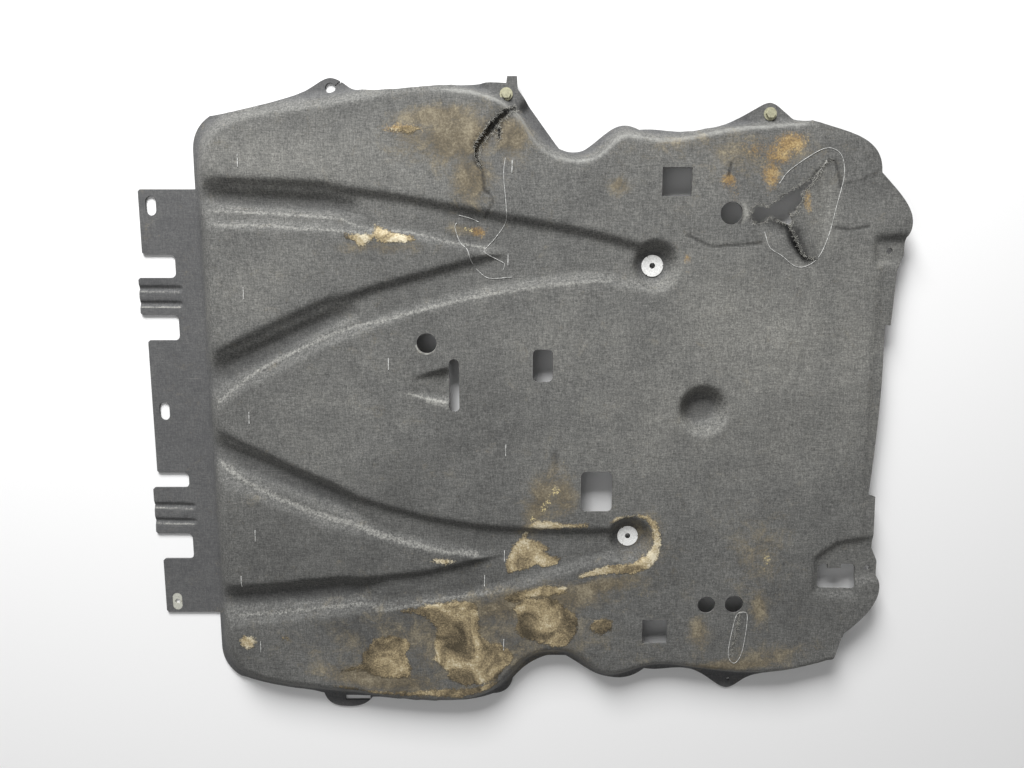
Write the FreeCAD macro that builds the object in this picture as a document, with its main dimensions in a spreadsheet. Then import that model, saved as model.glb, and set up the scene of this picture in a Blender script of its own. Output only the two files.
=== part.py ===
"""Engine splash shield: one sheet of moulded felt with its washers, screws and slot bush.

The road side faces up and the shield lies on its flange, so z = 0 is the flange's underside.
The front edge with its tabs is at -X, and the shield's middle line is the X axis.
"""

import FreeCAD
import Part
import Sketcher
import math
import os

Vector = FreeCAD.Vector

SIZES = (
    ("gauge", 3.0, "thickness of the felt"),
    ("crown", 32.0, "height of the panel's top face"),
    ("front_foot", 400.0, "middle to the foot of the front wall"),
    ("front_run", 20.0, "how far the front wall leans back"),
    ("tab_front", 472.0, "middle to the front edge of the tabs"),
    ("tab_upper_margin", 20.0, "upper slot to the outer edge of the upper tab"),
    ("tab_lower_margin", 15.0, "lower slot to the outer edge of the lower tab"),
    ("tab_corner", 2.5, "bevel on the corners of the tabs"),
    ("notch_depth", 41.0, "depth of the notches between the tabs"),
    ("notch_corner", 6.0, "corner radius inside the notches"),
    ("tongue_reach", 7.0, "how far the ribbed tongues stand past the tabs"),
    ("rib_width", 9.0, "width of a pressed groove on a tongue"),
    ("rib_depth", 1.6, "depth of a pressed groove on a tongue"),
    ("rib_length", 48.0, "length of a pressed groove on a tongue"),
    ("slot_width", 13.0, "width of a front slot"),
    ("slot_length", 24.0, "length of a front slot"),
    ("slot_inset", 15.0, "tab edge to the middle of the front slots"),
    ("slot_spacing", 260.0, "distance between front slots"),
    ("groove_depth", 9.0, "depth of the forked grooves"),
    ("groove_run", 8.0, "how far a groove wall leans"),
    ("trough_depth", 9.0, "extra depth of the troughs at the front"),
    ("trough_run", 7.0, "how far a trough wall leans"),
    ("trough_end_run", 30.0, "how far the end of a trough leans"),
    ("well_depth", 21.0, "depth of the screw wells"),
    ("well_mouth", 31.0, "mouth radius of a well"),
    ("well_floor", 18.5, "floor radius of a well"),
    ("washer_radius", 13.5, "outer radius of a well washer"),
    ("washer_gauge", 1.5, "thickness of a well washer"),
    ("bolt_bore", 7.0, "bolt hole in a well washer"),
    ("washer_nick", 1.6, "depth of a nick in a washer's rim"),
    ("floor_bore", 9.0, "hole in a well's floor"),
    ("rear_hole_bore", 8.0, "bolt hole in the rear flange"),
    ("rear_hole_x", 456.0, "middle to the rear bolt holes"),
    ("rear_hole_spacing", 408.0, "distance between the rear bolt holes"),
    ("rear_step", 6.0, "depth of the pads round the rear bolt holes"),
    ("rear_strip", 2.5, "depth of the strip along the rear edge"),
    ("ramp_depth", 7.0, "depth of the ramp at the long slot"),
    ("ear_lift", 9.0, "underside of a screw ear above the flange"),
    ("ear_run", 6.0, "how far the side of a screw ear leans"),
    ("screw_bore", 7.0, "hole for an ear screw"),
    ("screw_shank", 6.0, "shank diameter of an ear screw"),
    ("screw_flange", 15.6, "flange diameter of an ear screw"),
    ("screw_flange_gauge", 1.6, "flange thickness of an ear screw"),
    ("screw_hex", 10.0, "width across the flats of an ear screw"),
    ("screw_head", 4.0, "height of an ear screw's hexagon"),
    ("screw_reach", 8.5, "shank below the ear"),
    ("bush_gauge", 2.6, "thickness of the slot bush"),
    ("bush_bore", 6.5, "hole in the slot bush"),
    ("flap_angle", 14.0, "how far the torn flap is bent up, in degrees"),
)

# Rim of the panel's top face, each station with the run of the wall below it, front to rear.
UPPER_RIM = (
    (-363, 342, 24), (-258, 371, 23), (-69, 392, 11), (-22, 380, 8), (-3, 367, 8), (47, 315, 14), (66, 311, 13),
    (90, 313, 13), (124, 338, 15), (163, 335, 15), (236, 344, 10), (310, 352, 9), (395, 354, 8), (520, 310, 8),
)
LOWER_RIM = (
    (-369, -334, 24), (-256, -367, 23), (-77, -385, 16), (-42, -376, 16), (-16, -353, 17), (22, -320, 17),
    (42, -315, 19), (66, -316, 19), (95, -334, 19), (128, -348, 19), (172, -336, 18), (228, -338, 16),
    (310, -347, 16), (384, -338, 14), (414, -329, 12), (520, -280, 8),
)

# Trimmed edge of the felt as runs of points: a run of one point is straight, a longer one is a curve.
UPPER_EDGE = (
    ((-400, 325),),
    ((-394, 350), (-376, 367)),
    ((-285, 386), (-264, 395)),
    ((-242, 407), (-228, 412), (-214, 407), (-204, 400), (-188, 396)),
    ((-106, 398), (-55, 404), (-14, 404)),
    ((-13, 412),),
    ((-1, 412),),
    ((0, 397),),
    ((51, 328),),
    ((64, 324), (80, 326)),
    ((101, 341), (124, 355), (148, 350)),
    ((172, 351), (201, 348), (227, 351)),
    ((258, 359), (290, 375), (306, 381), (318, 375), (352, 358)),
    ((392, 345), (424, 329), (438, 297)),
    ((466, 267), (479, 236), (474, 220)),
)
REAR_EDGE = (
    ((474, 198),),
    ((465, 180),),
    ((463, 113),),
    ((456, 113),),
    ((456, 20), (450, -104)),
    ((459, -107),),
    ((460, -176),),
    ((468, -194),),
    ((468, -214),),
    ((471, -224), (465, -251), (430, -291)),
)
LOWER_EDGE = (
    ((424, -305), (418, -327), (385, -354)),
    ((341, -361), (308, -372), (287, -384), (266, -374), (246, -361)),
    ((226, -355), (195, -357), (173, -356)),
    ((130, -369), (84, -348), (66, -337)),
    ((41, -337),),
    ((26, -343), (-6, -370)),
    ((-15, -387), (-33, -393)),
    ((-65, -401), (-106, -402), (-198, -398)),
    ((-214, -410), (-232, -412), (-250, -409), (-264, -392)),
    ((-289, -385), (-343, -371), (-375, -365)),
    ((-393, -349), (-400, -318)),
)

# Notches between the front tabs and the ribbed tongues, each as its lower and upper end along Y.
NOTCHES = ((171, 200), (92, 124), (-102, -82), (-200, -165))
TONGUES = ((124, 171), (-165, -102))
TONGUE_RIBS = ((139, 158), (-149, -127))

# Forked grooves: the outer and the inner edge of each leg, from the front to the well.
GROOVE_LEGS = (
    (((-420, 288), (-278, 284), (-165, 275), (-44, 253), (60, 235), (150, 213)),
     ((-420, 236), (-297, 231), (-200, 227), (-121, 218), (-37, 201), (90, 172), (150, 158))),
    (((-420, -14), (-305, 53), (-195, 105), (-51, 148), (60, 166), (150, 172)),
     ((-420, 54), (-302, 112), (-194, 157), (-95, 185), (-37, 201), (60, 223), (150, 213))),
    (((-420, -4), (-315, -55), (-176, -115), (-70, -140), (36, -149), (140, -147)),
     ((-420, -68), (-313, -117), (-200, -157), (-113, -176), (-50, -188), (60, -201), (140, -186))),
    (((-420, -280), (-300, -273), (-177, -258), (-71, -245), (40, -216), (140, -180)),
     ((-420, -234), (-304, -226), (-205, -215), (-103, -202), (-50, -188), (60, -158), (140, -147))),
)

# Troughs at the front of the legs: outer and inner edge, and an outline whose rear side ends the trough.
TROUGHS = (
    (((-420, 278), (-150, 264)), ((-420, 257), (-150, 239)),
     ((-560, 360), (-226, 345), (-146, 165), (-560, 170))),
    (((-420, 4), (-150, 148)), ((-420, 42), (-150, 166)),
     ((-560, 160), (-238, 202), (-145, 54), (-560, -170))),
    (((-420, -21), (-150, -137)), ((-420, -57), (-150, -163)),
     ((-560, 150), (-228, -50), (-144, -220), (-560, -180))),
    (((-420, -270), (-150, -246)), ((-420, -248), (-150, -219)),
     ((-560, -140), (-147, -159), (-206, -328), (-560, -350))),
)

# Screw wells on the panel, with a washer, and the plain well near the rear edge.
WASHER_WELLS = (("upper_well_washer", 168, 186), ("lower_well_washer", 145, -165))
BLANK_WELL = (234, 6)

# Openings through the panel: middle, size along X and Y, and corner radius where the corners are round.
WINDOWS = (
    (-79.5, 37.5, 13, 67, 6), (31.5, 62.5, 25, 41, 6), (101, -99.5, 40, 53, 6), (416.5, -215, 49, 34, 7),
)
SQUARE_WINDOWS = ((192, 286, 36, 34), (180.5, -289.5, 33, 33), (-218, -399, 34, 7))
WINDOW_TONGUE = (413.5, -199, 17, 10)
ROUND_HOLES = (
    (-113, 91, 12.5), (259, 249, 13.5), (293, 248, 11.5), (247, -252, 11.5), (283, -251, 12),
    (-228.5, 400, 6.5), (-30, -384, 2.5), (288, -372, 2.5),
)

# Ramp that leads to the long slot, as the middle and width of its two ends.
RAMP_START = (-135, 37, 18)
RAMP_END = (-84, 37.5, 41)

# Pads and strip pressed into the rear edge.
REAR_PADS = (
    ((434, 223), (500, 223), (500, 184), (436, 186)),
    ((384, -188), (412, -166), (500, -150), (500, -216), (446, -222), (436, -242), (384, -240)),
)
REAR_STRIP = ((442, 200), (500, 200), (500, -180), (444, -180), (440, -60))

# Raised ears with a screw: name, screw place and the ear's pad.
SCREW_EARS = (
    ("front_ear_screw", (-14, 391), ((-48, 420), (16, 420), (14, 392), (-4, 366), (-30, 378))),
    ("rear_ear_screw", (306, 368), ((274, 400), (338, 400), (330, 350), (284, 350))),
)

# Breaks in the felt: the split hook ear, the crack by the front ear and the tear at the rear.
HOOK_SPLIT = ((-224, 402), (-213, 412), (-211, 410), (-222, 400))
CRACK = (
    (-4, 377), (-18, 369), (-33, 356), (-52, 330), (-52, 316), (-44, 302),
    (-47, 316), (-44, 328), (-26, 350), (-13, 362), (-1, 370),
)
SIDE_SLIT = ((-23, 352), (-20, 345), (-22, 335), (-25, 343))
SCRAPE_SLIT = ((291, -261), (285, -296), (281, -322), (287, -298))
TEAR = (
    (302, 257), (324, 273), (342, 284), (358, 292), (371, 313), (379, 311),
    (366, 194), (352, 198), (342, 222), (335, 234), (313, 242), (301, 245),
)
FLAP = (
    (372, 312), (357, 288), (346, 273), (348, 262), (341, 254), (343, 248), (334, 248), (338, 240),
    (335, 233), (343, 214), (350, 200), (362, 194), (368, 194), (381, 311),
)
FLAP_HINGE = ((366, 194), (379, 311))

# Share of a cutter's depth that it stands proud of the face it is pressed into.
PROUD = 0.4

doc = FreeCAD.newDocument("splash_shield")
sheet = doc.addObject("Spreadsheet::Sheet", "sizes")


def fill_sheet():
    for row, (alias, value, meaning) in enumerate(SIZES, start=1):
        sheet.set("A%d" % row, meaning)
        sheet.set("B%d" % row, str(value))
        sheet.setAlias("B%d" % row, alias)
    doc.recompute()


def size(alias):
    return float(sheet.get(alias))


def offset(points, distance, closed):
    """Points moved to the left of their direction of travel, keeping corners square."""
    moved = []
    count = len(points)
    for i, (x, y) in enumerate(points):
        before = points[i - 1] if closed or i > 0 else None
        after = points[(i + 1) % count] if closed or i < count - 1 else None
        normals = []
        for a, b in ((before, (x, y)), ((x, y), after)):
            if a is not None and b is not None:
                length = math.hypot(b[0] - a[0], b[1] - a[1])
                normals.append(((a[1] - b[1]) / length, (b[0] - a[0]) / length))
        nx = sum(n[0] for n in normals) / len(normals)
        ny = sum(n[1] for n in normals) / len(normals)
        stretch = distance / (nx * nx + ny * ny)
        moved.append((x + nx * stretch, y + ny * stretch))
    return moved


def marks_along(points):
    """Distance of each point along the straight line through them, the curve's parameters."""
    marks = [0.0]
    for (ax, ay), (bx, by) in zip(points, points[1:]):
        marks.append(marks[-1] + math.hypot(bx - ax, by - ay))
    return marks


def curve(points, z, marks=None):
    """A straight edge through two points, or a smooth one through more."""
    places = [Vector(x, y, z) for x, y in points]
    if len(places) == 2:
        return Part.LineSegment(*places).toShape()
    line = Part.BSplineCurve()
    line.interpolate(Points=places, Parameters=marks or marks_along(points))
    return line.toShape()


def ring(sides, z, guides):
    """A closed wire from sides that follow each other, joined by straight edges."""
    edges = []
    for i, side in enumerate(sides):
        edges.append(curve(side, z, marks_along(guides[i])))
        following = sides[(i + 1) % len(sides)]
        edges.append(curve((side[-1], following[0]), z))
    return Part.Wire(edges)


def drafted(low_sides, low_z, high_sides, high_z):
    """A solid with leaning walls between two rings of matching sides."""
    low = ring(low_sides, low_z, low_sides)
    high = ring(high_sides, high_z, low_sides)
    return Part.makeLoft([low, high], True, True)


def tapered(low_points, low_z, high_points, high_z):
    """A solid with flat leaning walls between two matching polygons."""
    low = Part.makePolygon([Vector(x, y, low_z) for x, y in list(low_points) + [low_points[0]]])
    high = Part.makePolygon([Vector(x, y, high_z) for x, y in list(high_points) + [high_points[0]]])
    return Part.makeLoft([low, high], True, True)


def prism(points, low_z, high_z):
    wire = Part.makePolygon([Vector(x, y, low_z) for x, y in points] + [Vector(*points[0], low_z)])
    return Part.Face(wire).extrude(Vector(0, 0, high_z - low_z))


def block(x, y, width, length, low_z, high_z):
    """An upright block round a middle line."""
    return Part.makeBox(width, length, high_z - low_z, Vector(x - width / 2, y - length / 2, low_z))


def rounded_block(x, y, width, length, radius, low_z, high_z):
    """An upright block with round corners."""
    square = block(x, y, width, length, low_z, high_z)
    uprights = [e for e in square.Edges if abs(e.tangentAt(e.FirstParameter).z) > 0.9]
    return square.makeFillet(radius, uprights)


def slot_block(x, y, width, length, low_z, high_z):
    """An upright block along Y with half-round ends."""
    between = length - width
    height = high_z - low_z
    middle = block(x, y, width, between, low_z, high_z)
    ends = [Part.makeCylinder(width / 2, height, Vector(x, y + side * between / 2, low_z)) for side in (-1, 1)]
    return middle.fuse(ends).removeSplitter()


def channel(outer, inner, top, depth, run):
    """Cutter for a groove between two edges, its walls leaning in by run over its depth."""
    turn = 1 if side_of(outer, inner) else -1
    low = (offset(outer, turn * run, False), offset(inner, -turn * run, False)[::-1])
    high = (offset(outer, -turn * run * PROUD, False), offset(inner, turn * run * PROUD, False)[::-1])
    return drafted(low, top - depth, high, top + depth * PROUD)


def trough(outer, inner, outline):
    """Cutter for the deeper front of a groove, with a gently rising end."""
    floor = size("crown") - size("groove_depth")
    depth = size("trough_depth")
    stretch = basin(outline, floor, depth, size("trough_end_run"))
    return channel(outer, inner, floor, depth, size("trough_run")).common(stretch)


def side_of(outer, inner):
    """True where the inner edge lies to the left of the outer one."""
    (ax, ay), (bx, by) = outer[0], outer[-1]
    mx, my = inner[len(inner) // 2]
    return (bx - ax) * (my - ay) - (by - ay) * (mx - ax) > 0


def basin(points, top, depth, run):
    """Cutter for a pressed pad with leaning sides; the points run clockwise."""
    low = offset(points, -run, True)
    high = offset(points, run * PROUD, True)
    return tapered(low, top - depth, high, top + depth * PROUD)


def moulded_form():
    """The shield's outer form as a block: flange slab, panel with leaning walls, and what is pressed in."""
    crown = size("crown")
    reach = 600
    slab = Part.makeBox(2 * reach, 2 * reach, size("gauge"), Vector(-reach, -reach, 0))
    front_rim = -size("front_foot") + size("front_run")
    upper_rim = [(front_rim, 300)] + [station[:2] for station in UPPER_RIM]
    lower_rim = [(front_rim, -300)] + [station[:2] for station in LOWER_RIM]
    upper_foot = wall_foot(upper_rim, [size("front_run")] + [station[2] for station in UPPER_RIM], 1)
    lower_foot = wall_foot(lower_rim, [size("front_run")] + [station[2] for station in LOWER_RIM], -1)
    panel = drafted((upper_foot, lower_foot[::-1]), 0, (upper_rim, lower_rim[::-1]), crown)
    form = slab.fuse([panel] + [ear_pad(pad) for name, place, pad in SCREW_EARS])
    for hollow in pressed_hollows():
        form = form.cut(hollow)
    return form


def wall_foot(rim, runs, side):
    """Foot of the panel's wall: each rim station moved out by its own run."""
    return [offset(rim, side * run, False)[i] for i, run in enumerate(runs)]


def ear_pad(points):
    """Raised pad of a screw ear; the points run clockwise."""
    return tapered(offset(points, size("ear_run"), True), 0, points, size("ear_lift") + size("gauge"))


def pressed_hollows():
    crown = size("crown")
    hollows = [channel(outer, inner, crown, size("groove_depth"), size("groove_run"))
               for outer, inner in GROOVE_LEGS]
    hollows += [trough(outer, inner, outline) for outer, inner, outline in TROUGHS]
    places = [place for name, *place in WASHER_WELLS] + [BLANK_WELL]
    hollows += [well(x, y) for x, y in places]
    hollows += [basin(pad, crown, size("rear_step"), size("rear_step")) for pad in REAR_PADS]
    hollows.append(basin(REAR_STRIP, crown, size("rear_strip"), size("rear_step")))
    hollows.append(ramp())
    return hollows


def well(x, y):
    """Cutter for a round well, carried on above the panel so that its mouth is clean."""
    depth = size("well_depth")
    lean = size("well_mouth") - size("well_floor")
    return Part.makeCone(size("well_floor"), size("well_mouth") + lean * PROUD, depth * (1 + PROUD),
                         Vector(x, y, size("crown") - depth))


def ramp():
    """Cutter for the ramp, which deepens towards the long slot."""
    ends = []
    for (x, y, width), depth in ((RAMP_START, size("gauge") / 10), (RAMP_END, size("ramp_depth"))):
        crown = size("crown")
        floor = width / 2 - depth / 2
        corners = ((-width / 2 - depth, crown + depth), (width / 2 + depth, crown + depth),
                   (floor, crown - depth), (-floor, crown - depth))
        places = [Vector(x, y + across, z) for across, z in corners]
        ends.append(Part.makePolygon(places + places[:1]))
    return Part.makeLoft(ends, True, True)


def trimmed_outline():
    """Upright block with the felt's trimmed outline, front tabs and tongues included."""
    low_z, high_z = -size("crown"), 2 * size("crown")
    front = -size("tab_front")
    tab_top = size("slot_spacing") + size("tab_upper_margin")
    tab_bottom = -size("slot_spacing") - size("tab_lower_margin")
    start = (-size("front_foot"), tab_top)
    here = start
    edges = []
    for run in UPPER_EDGE + REAR_EDGE + LOWER_EDGE:
        edges.append(curve((here,) + tuple(run), low_z))
        here = run[-1]
    tab_corners = ((-size("front_foot"), tab_bottom), (front, tab_bottom), (front, tab_top), start)
    for corner in tab_corners:
        edges.append(curve((here, corner), low_z))
        here = corner
    outline = Part.Face(Part.Wire(edges)).extrude(Vector(0, 0, high_z - low_z))
    tongue_length = size("notch_depth") + size("tongue_reach")
    for low, high in TONGUES:
        corner = Vector(front - size("tongue_reach"), low, low_z)
        outline = outline.fuse(Part.makeBox(tongue_length, high - low, high_z - low_z, corner))
    outline = outline.cut([notch(low, high, low_z, high_z) for low, high in NOTCHES])
    corners = [e for e in outline.Edges if is_upright(e) and e.Vertexes[0].X < front + size("tab_corner")]
    return outline.makeChamfer(size("tab_corner"), corners)


def is_upright(edge):
    return len(edge.Vertexes) == 2 and abs(edge.Vertexes[0].Z - edge.Vertexes[1].Z) > size("crown")


def notch(low, high, low_z, high_z):
    """Cutter for a notch that is open at the front and has round corners inside."""
    depth = size("notch_depth") + 2 * size("tongue_reach")
    x = -size("tab_front") + size("notch_depth") - depth / 2
    return rounded_block(x, (low + high) / 2, depth, high - low, size("notch_corner"), low_z, high_z)


def slot_places():
    x = -size("tab_front") + size("slot_inset")
    return [(x, step * size("slot_spacing")) for step in (1, 0, -1)]


def through_cuts():
    low, high = -size("crown"), 2 * size("crown")
    tongue = block(*WINDOW_TONGUE, low, high)
    cuts = [rounded_block(*window, low, high).cut(tongue) for window in WINDOWS]
    cuts += [block(*window, low, high) for window in SQUARE_WINDOWS]
    cuts += [slot_block(x, y, size("slot_width"), size("slot_length"), low, high) for x, y in slot_places()]
    rounds = list(ROUND_HOLES)
    rounds += [(x, y, size("floor_bore") / 2) for name, x, y in WASHER_WELLS]
    rounds += [(size("rear_hole_x"), side * size("rear_hole_spacing") / 2, size("rear_hole_bore") / 2)
               for side in (1, -1)]
    rounds += [(*place, size("screw_bore") / 2) for name, place, pad in SCREW_EARS]
    cuts += [Part.makeCylinder(radius, high - low, Vector(x, y, low)) for x, y, radius in rounds]
    cuts += [prism(points, low, high) for points in (HOOK_SPLIT, CRACK, SIDE_SLIT, SCRAPE_SLIT, TEAR)]
    return cuts


def tongue_grooves():
    """Cutters for the V grooves pressed across the tongues."""
    gauge = size("gauge")
    x = -size("tab_front") - size("tongue_reach") - gauge
    half = size("rib_width") / 2
    grooves = []
    for pair in TONGUE_RIBS:
        for y in pair:
            corners = [Vector(x, y - half, gauge), Vector(x, y, gauge - size("rib_depth")),
                       Vector(x, y + half, gauge)]
            face = Part.Face(Part.makePolygon(corners + corners[:1]))
            grooves.append(face.extrude(Vector(size("rib_length") + gauge, 0, 0)))
    return grooves


def torn_flap():
    """The torn corner of felt, bent up about its hinge line and joined to the panel there."""
    crown = size("crown")
    flap = prism(FLAP, crown - size("gauge"), crown)
    (ax, ay), (bx, by) = FLAP_HINGE
    hinge = Vector(ax, ay, crown - size("gauge") / 2)
    flap.rotate(hinge, Vector(bx - ax, by - ay, 0), size("flap_angle"))
    return flap


def make_panel():
    form = moulded_form()
    under = form.copy()
    under.translate(Vector(0, 0, -size("gauge")))
    felt = form.cut(under).common(trimmed_outline())
    felt = felt.cut(through_cuts() + tongue_grooves())
    felt = felt.fuse(torn_flap())
    panel = doc.addObject("Part::Feature", "splash_panel")
    panel.Label = "splash_panel"
    panel.Shape = felt
    return panel


def make_washer(name, x, y):
    """Flat metal washer with three nicks in its rim, seated on a well's floor."""
    body = doc.addObject("PartDesign::Body", name)
    body.Label = name
    disc = sketch_on_body(body, name + "_disc")
    add_circle(disc, "sizes.washer_radius")
    add_circle(disc, "sizes.bolt_bore / 2")
    pad = body.newObject("PartDesign::Pad", name + "_pad")
    pad.Profile = disc
    pad.setExpression("Length", "sizes.washer_gauge")
    nick = sketch_on_body(body, name + "_nick")
    add_nick(nick)
    doc.recompute()
    pocket = body.newObject("PartDesign::Pocket", name + "_pocket")
    pocket.Profile = nick
    pocket.Type = "ThroughAll"
    pocket.Reversed = True
    doc.recompute()
    pattern = body.newObject("PartDesign::PolarPattern", name + "_nicks")
    pattern.Originals = [pocket]
    pattern.Axis = (disc, ["N_Axis"])
    pattern.Angle = 360
    pattern.Occurrences = 3
    body.Tip = pattern
    body.Placement.Base = Vector(x, y, 0)
    body.setExpression("Placement.Base.z", "sizes.crown - sizes.well_depth")
    return body


def sketch_on_body(body, name):
    sketch = body.newObject("Sketcher::SketchObject", name)
    plane = [f for f in body.Origin.OriginFeatures if f.Role == "XY_Plane"][0]
    sketch.AttachmentSupport = [(plane, "")]
    sketch.MapMode = "FlatFace"
    return sketch


def add_circle(sketch, radius):
    """A circle of the given radius round the sketch's middle."""
    circle = sketch.addGeometry(Part.Circle(Vector(0, 0, 0), Vector(0, 0, 1), 1))
    number = sketch.addConstraint(Sketcher.Constraint("Radius", circle, 1))
    sketch.setExpression("Constraints[%d]" % number, radius)
    sketch.addConstraint(Sketcher.Constraint("Coincident", circle, 3, -1, 1))


def add_nick(sketch):
    """A V across the washer's rim, pointing inwards along the sketch's X axis."""
    rim, depth = size("washer_radius"), size("washer_nick")
    corners = (Vector(rim - depth, 0, 0), Vector(rim + depth, depth, 0), Vector(rim + depth, -depth, 0))
    first, second, third = [sketch.addGeometry(Part.LineSegment(corners[i - 1], corners[i])) for i in range(3)]
    for a, b in ((first, second), (second, third), (third, first)):
        sketch.addConstraint(Sketcher.Constraint("Coincident", a, 2, b, 1))
    sketch.addConstraint(Sketcher.Constraint("Symmetric", third, 1, third, 2, -1))
    for line, kind, value in ((second, "DistanceX", "sizes.washer_radius - sizes.washer_nick"),
                              (third, "DistanceX", "sizes.washer_radius + sizes.washer_nick"),
                              (third, "DistanceY", "sizes.washer_nick")):
        number = sketch.addConstraint(Sketcher.Constraint(kind, -1, 1, line, 1, depth))
        sketch.setExpression("Constraints[%d]" % number, value)


def make_ear_screw(name, x, y):
    """Flange-head screw, seated on a raised ear with its shank through the felt."""
    shank = doc.addObject("Part::Cylinder", name + "_shank")
    shank.setExpression("Radius", "sizes.screw_shank / 2")
    shank.setExpression("Height", "sizes.screw_reach + sizes.gauge")
    shank.setExpression("Placement.Base.z", "-sizes.screw_reach - sizes.gauge")
    flange = doc.addObject("Part::Cylinder", name + "_flange")
    flange.setExpression("Radius", "sizes.screw_flange / 2")
    flange.setExpression("Height", "sizes.screw_flange_gauge")
    head = doc.addObject("Part::Prism", name + "_head")
    head.Polygon = 6
    head.setExpression("Circumradius", "sizes.screw_hex / sqrt(3)")
    head.setExpression("Height", "sizes.screw_flange_gauge + sizes.screw_head")
    screw = doc.addObject("Part::MultiFuse", name)
    screw.Label = name
    screw.Shapes = [shank, flange, head]
    screw.Placement.Base = Vector(x, y, 0)
    screw.setExpression("Placement.Base.z", "sizes.ear_lift + sizes.gauge")
    return screw


def make_slot_bush():
    """Metal bush that fills the lower front slot."""
    block = slot_block(0, 0, size("slot_width"), size("slot_length"), 0, size("bush_gauge"))
    bore = Part.makeCylinder(size("bush_bore") / 2, size("bush_gauge"))
    bush = doc.addObject("Part::Feature", "slot_bush")
    bush.Label = "slot_bush"
    bush.Shape = block.cut(bore)
    x, y = slot_places()[-1]
    bush.Placement.Base = Vector(x, y, 0)
    return bush


def write_parts(parts):
    doc.recompute()
    for item in doc.Objects:
        if "Invalid" in item.State or "Error" in item.State:
            raise RuntimeError("%s did not build" % item.Label)
    for part in parts:
        if part.Shape.isNull() or not part.Shape.isValid():
            raise RuntimeError("%s has no valid shape" % part.Label)
    os.makedirs("parts", exist_ok=True)
    for part in parts:
        part.Shape.exportStep("parts/%s.step" % part.Label)


fill_sheet()
pieces = [make_panel(), make_slot_bush()]
pieces += [make_washer(name, x, y) for name, x, y in WASHER_WELLS]
pieces += [make_ear_screw(name, *place) for name, place, pad in SCREW_EARS]
write_parts(pieces)
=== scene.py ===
"""Looks of the engine splash shield: worn and muddy felt, steel fasteners, floor, light and camera."""

import math

import bmesh
import bpy
import numpy as np
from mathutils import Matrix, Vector, geometry, kdtree, noise
from mathutils.bvhtree import BVHTree


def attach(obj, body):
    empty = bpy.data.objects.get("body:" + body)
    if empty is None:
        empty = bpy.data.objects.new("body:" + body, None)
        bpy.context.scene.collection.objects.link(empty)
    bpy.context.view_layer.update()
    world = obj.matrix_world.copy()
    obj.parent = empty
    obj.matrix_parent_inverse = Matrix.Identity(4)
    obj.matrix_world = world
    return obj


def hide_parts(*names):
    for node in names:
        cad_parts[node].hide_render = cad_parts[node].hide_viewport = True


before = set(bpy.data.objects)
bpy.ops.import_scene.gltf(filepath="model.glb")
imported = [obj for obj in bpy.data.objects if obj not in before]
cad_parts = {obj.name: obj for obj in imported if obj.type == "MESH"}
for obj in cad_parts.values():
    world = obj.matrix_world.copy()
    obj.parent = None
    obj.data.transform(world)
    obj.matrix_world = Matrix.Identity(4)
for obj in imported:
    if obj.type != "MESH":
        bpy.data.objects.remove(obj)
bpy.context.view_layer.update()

MM = 0.001

# Felt skin, in millimetres.
FELT_GAUGE = 3.0
SAMPLE_STEP = 2.0
CORNER_SPREAD = 2.4
FINE_STEP = 3.4
COARSE_STEP = 8.0
PATCH_STEP = 2.3
LINE_STEP = 1.4
EDGE_STEP = 3.0
RAGGED_STEP = 1.3
RAGGED_DEPTH = 1.1
FIELD_HALF_X = 486.0
FIELD_HALF_Y = 420.0
STEEPEST = 0.05
WALL_SLOPE = 1.15
FLOOR_REACH = 5.0
GENTLE_WALL = (30.0, 200.0)
GENTLE_SLOPE = 0.88
TROUGH_END = -205.0
TROUGH_START = -396.0
TROUGH_HALF = 300.0
FRONT_WALL = -382.0
FRONT_REACH = 16.0
FRONT_SPREAD = 6.0
HINGE_LOW = (366.0, 194.0)
HINGE_HIGH = (379.0, 311.0)
HINGE_CLEAR = 4.0
FLAP_STRETCH = 0.26
FLAP_TOP = 290.0
TEAR_LOW = (330.0, 193.0)
TEAR_HIGH = (383.0, 314.0)
FLAP_TILT = 0.99
FLAP_RISE = 14.0
FLAP_FADE = 25.0
FLAP_STEP = 4.0
FLAP_CLEAR = 2.2
CROWN = 32.0
TROUGH_FADE = 30.0
WALL_SAMPLES = 12
RAISED_OVER = 8.0
BUSY_BEND = 0.45
RUBBED_AND_LIT_FINE = 0.42
ABOVE_ALL = 100.0
CORNER_TURN = math.radians(25)
SHARP_EDGE = math.radians(50)
DOWN = Vector((0, 0, -1))

# Broken edges, as boxes (low x, low y, high x, high y): the crack, the side slit, the scrape and the tear.
BROKEN_EDGES = (
    (-60.0, 295.0, 6.0, 382.0),
    (-30.0, 330.0, -15.0, 356.0),
    (275.0, -330.0, 300.0, -255.0),
    (278.0, 185.0, 400.0, 320.0),
)

# Bends and dents in the sheet: (x, y, half width, half length, turn in degrees, lift in millimetres).
DENTS = (
    (338.0, 221.0, 27.0, 10.0, -58.0, -9.0),
    (312.0, 234.0, 16.0, 9.0, -20.0, -3.5),
    (272.0, 237.0, 9.0, 5.0, 0.0, -2.5),
    (-44.0, 344.0, 9.0, 30.0, -42.0, 2.0),
    (-26.0, 346.0, 9.0, 28.0, -42.0, -4.0),
    (-30.0, 310.0, 14.0, 22.0, 0.0, -1.6),
    (49.0, -64.0, 3.0, 15.0, 0.0, -1.6),
    (30.0, -185.0, 30.0, 16.0, 20.0, -0.9),
    (-120.0, 350.0, 60.0, 14.0, 0.0, 0.9),
    (-90.0, -330.0, 70.0, 24.0, 0.0, 0.9),
)
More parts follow.
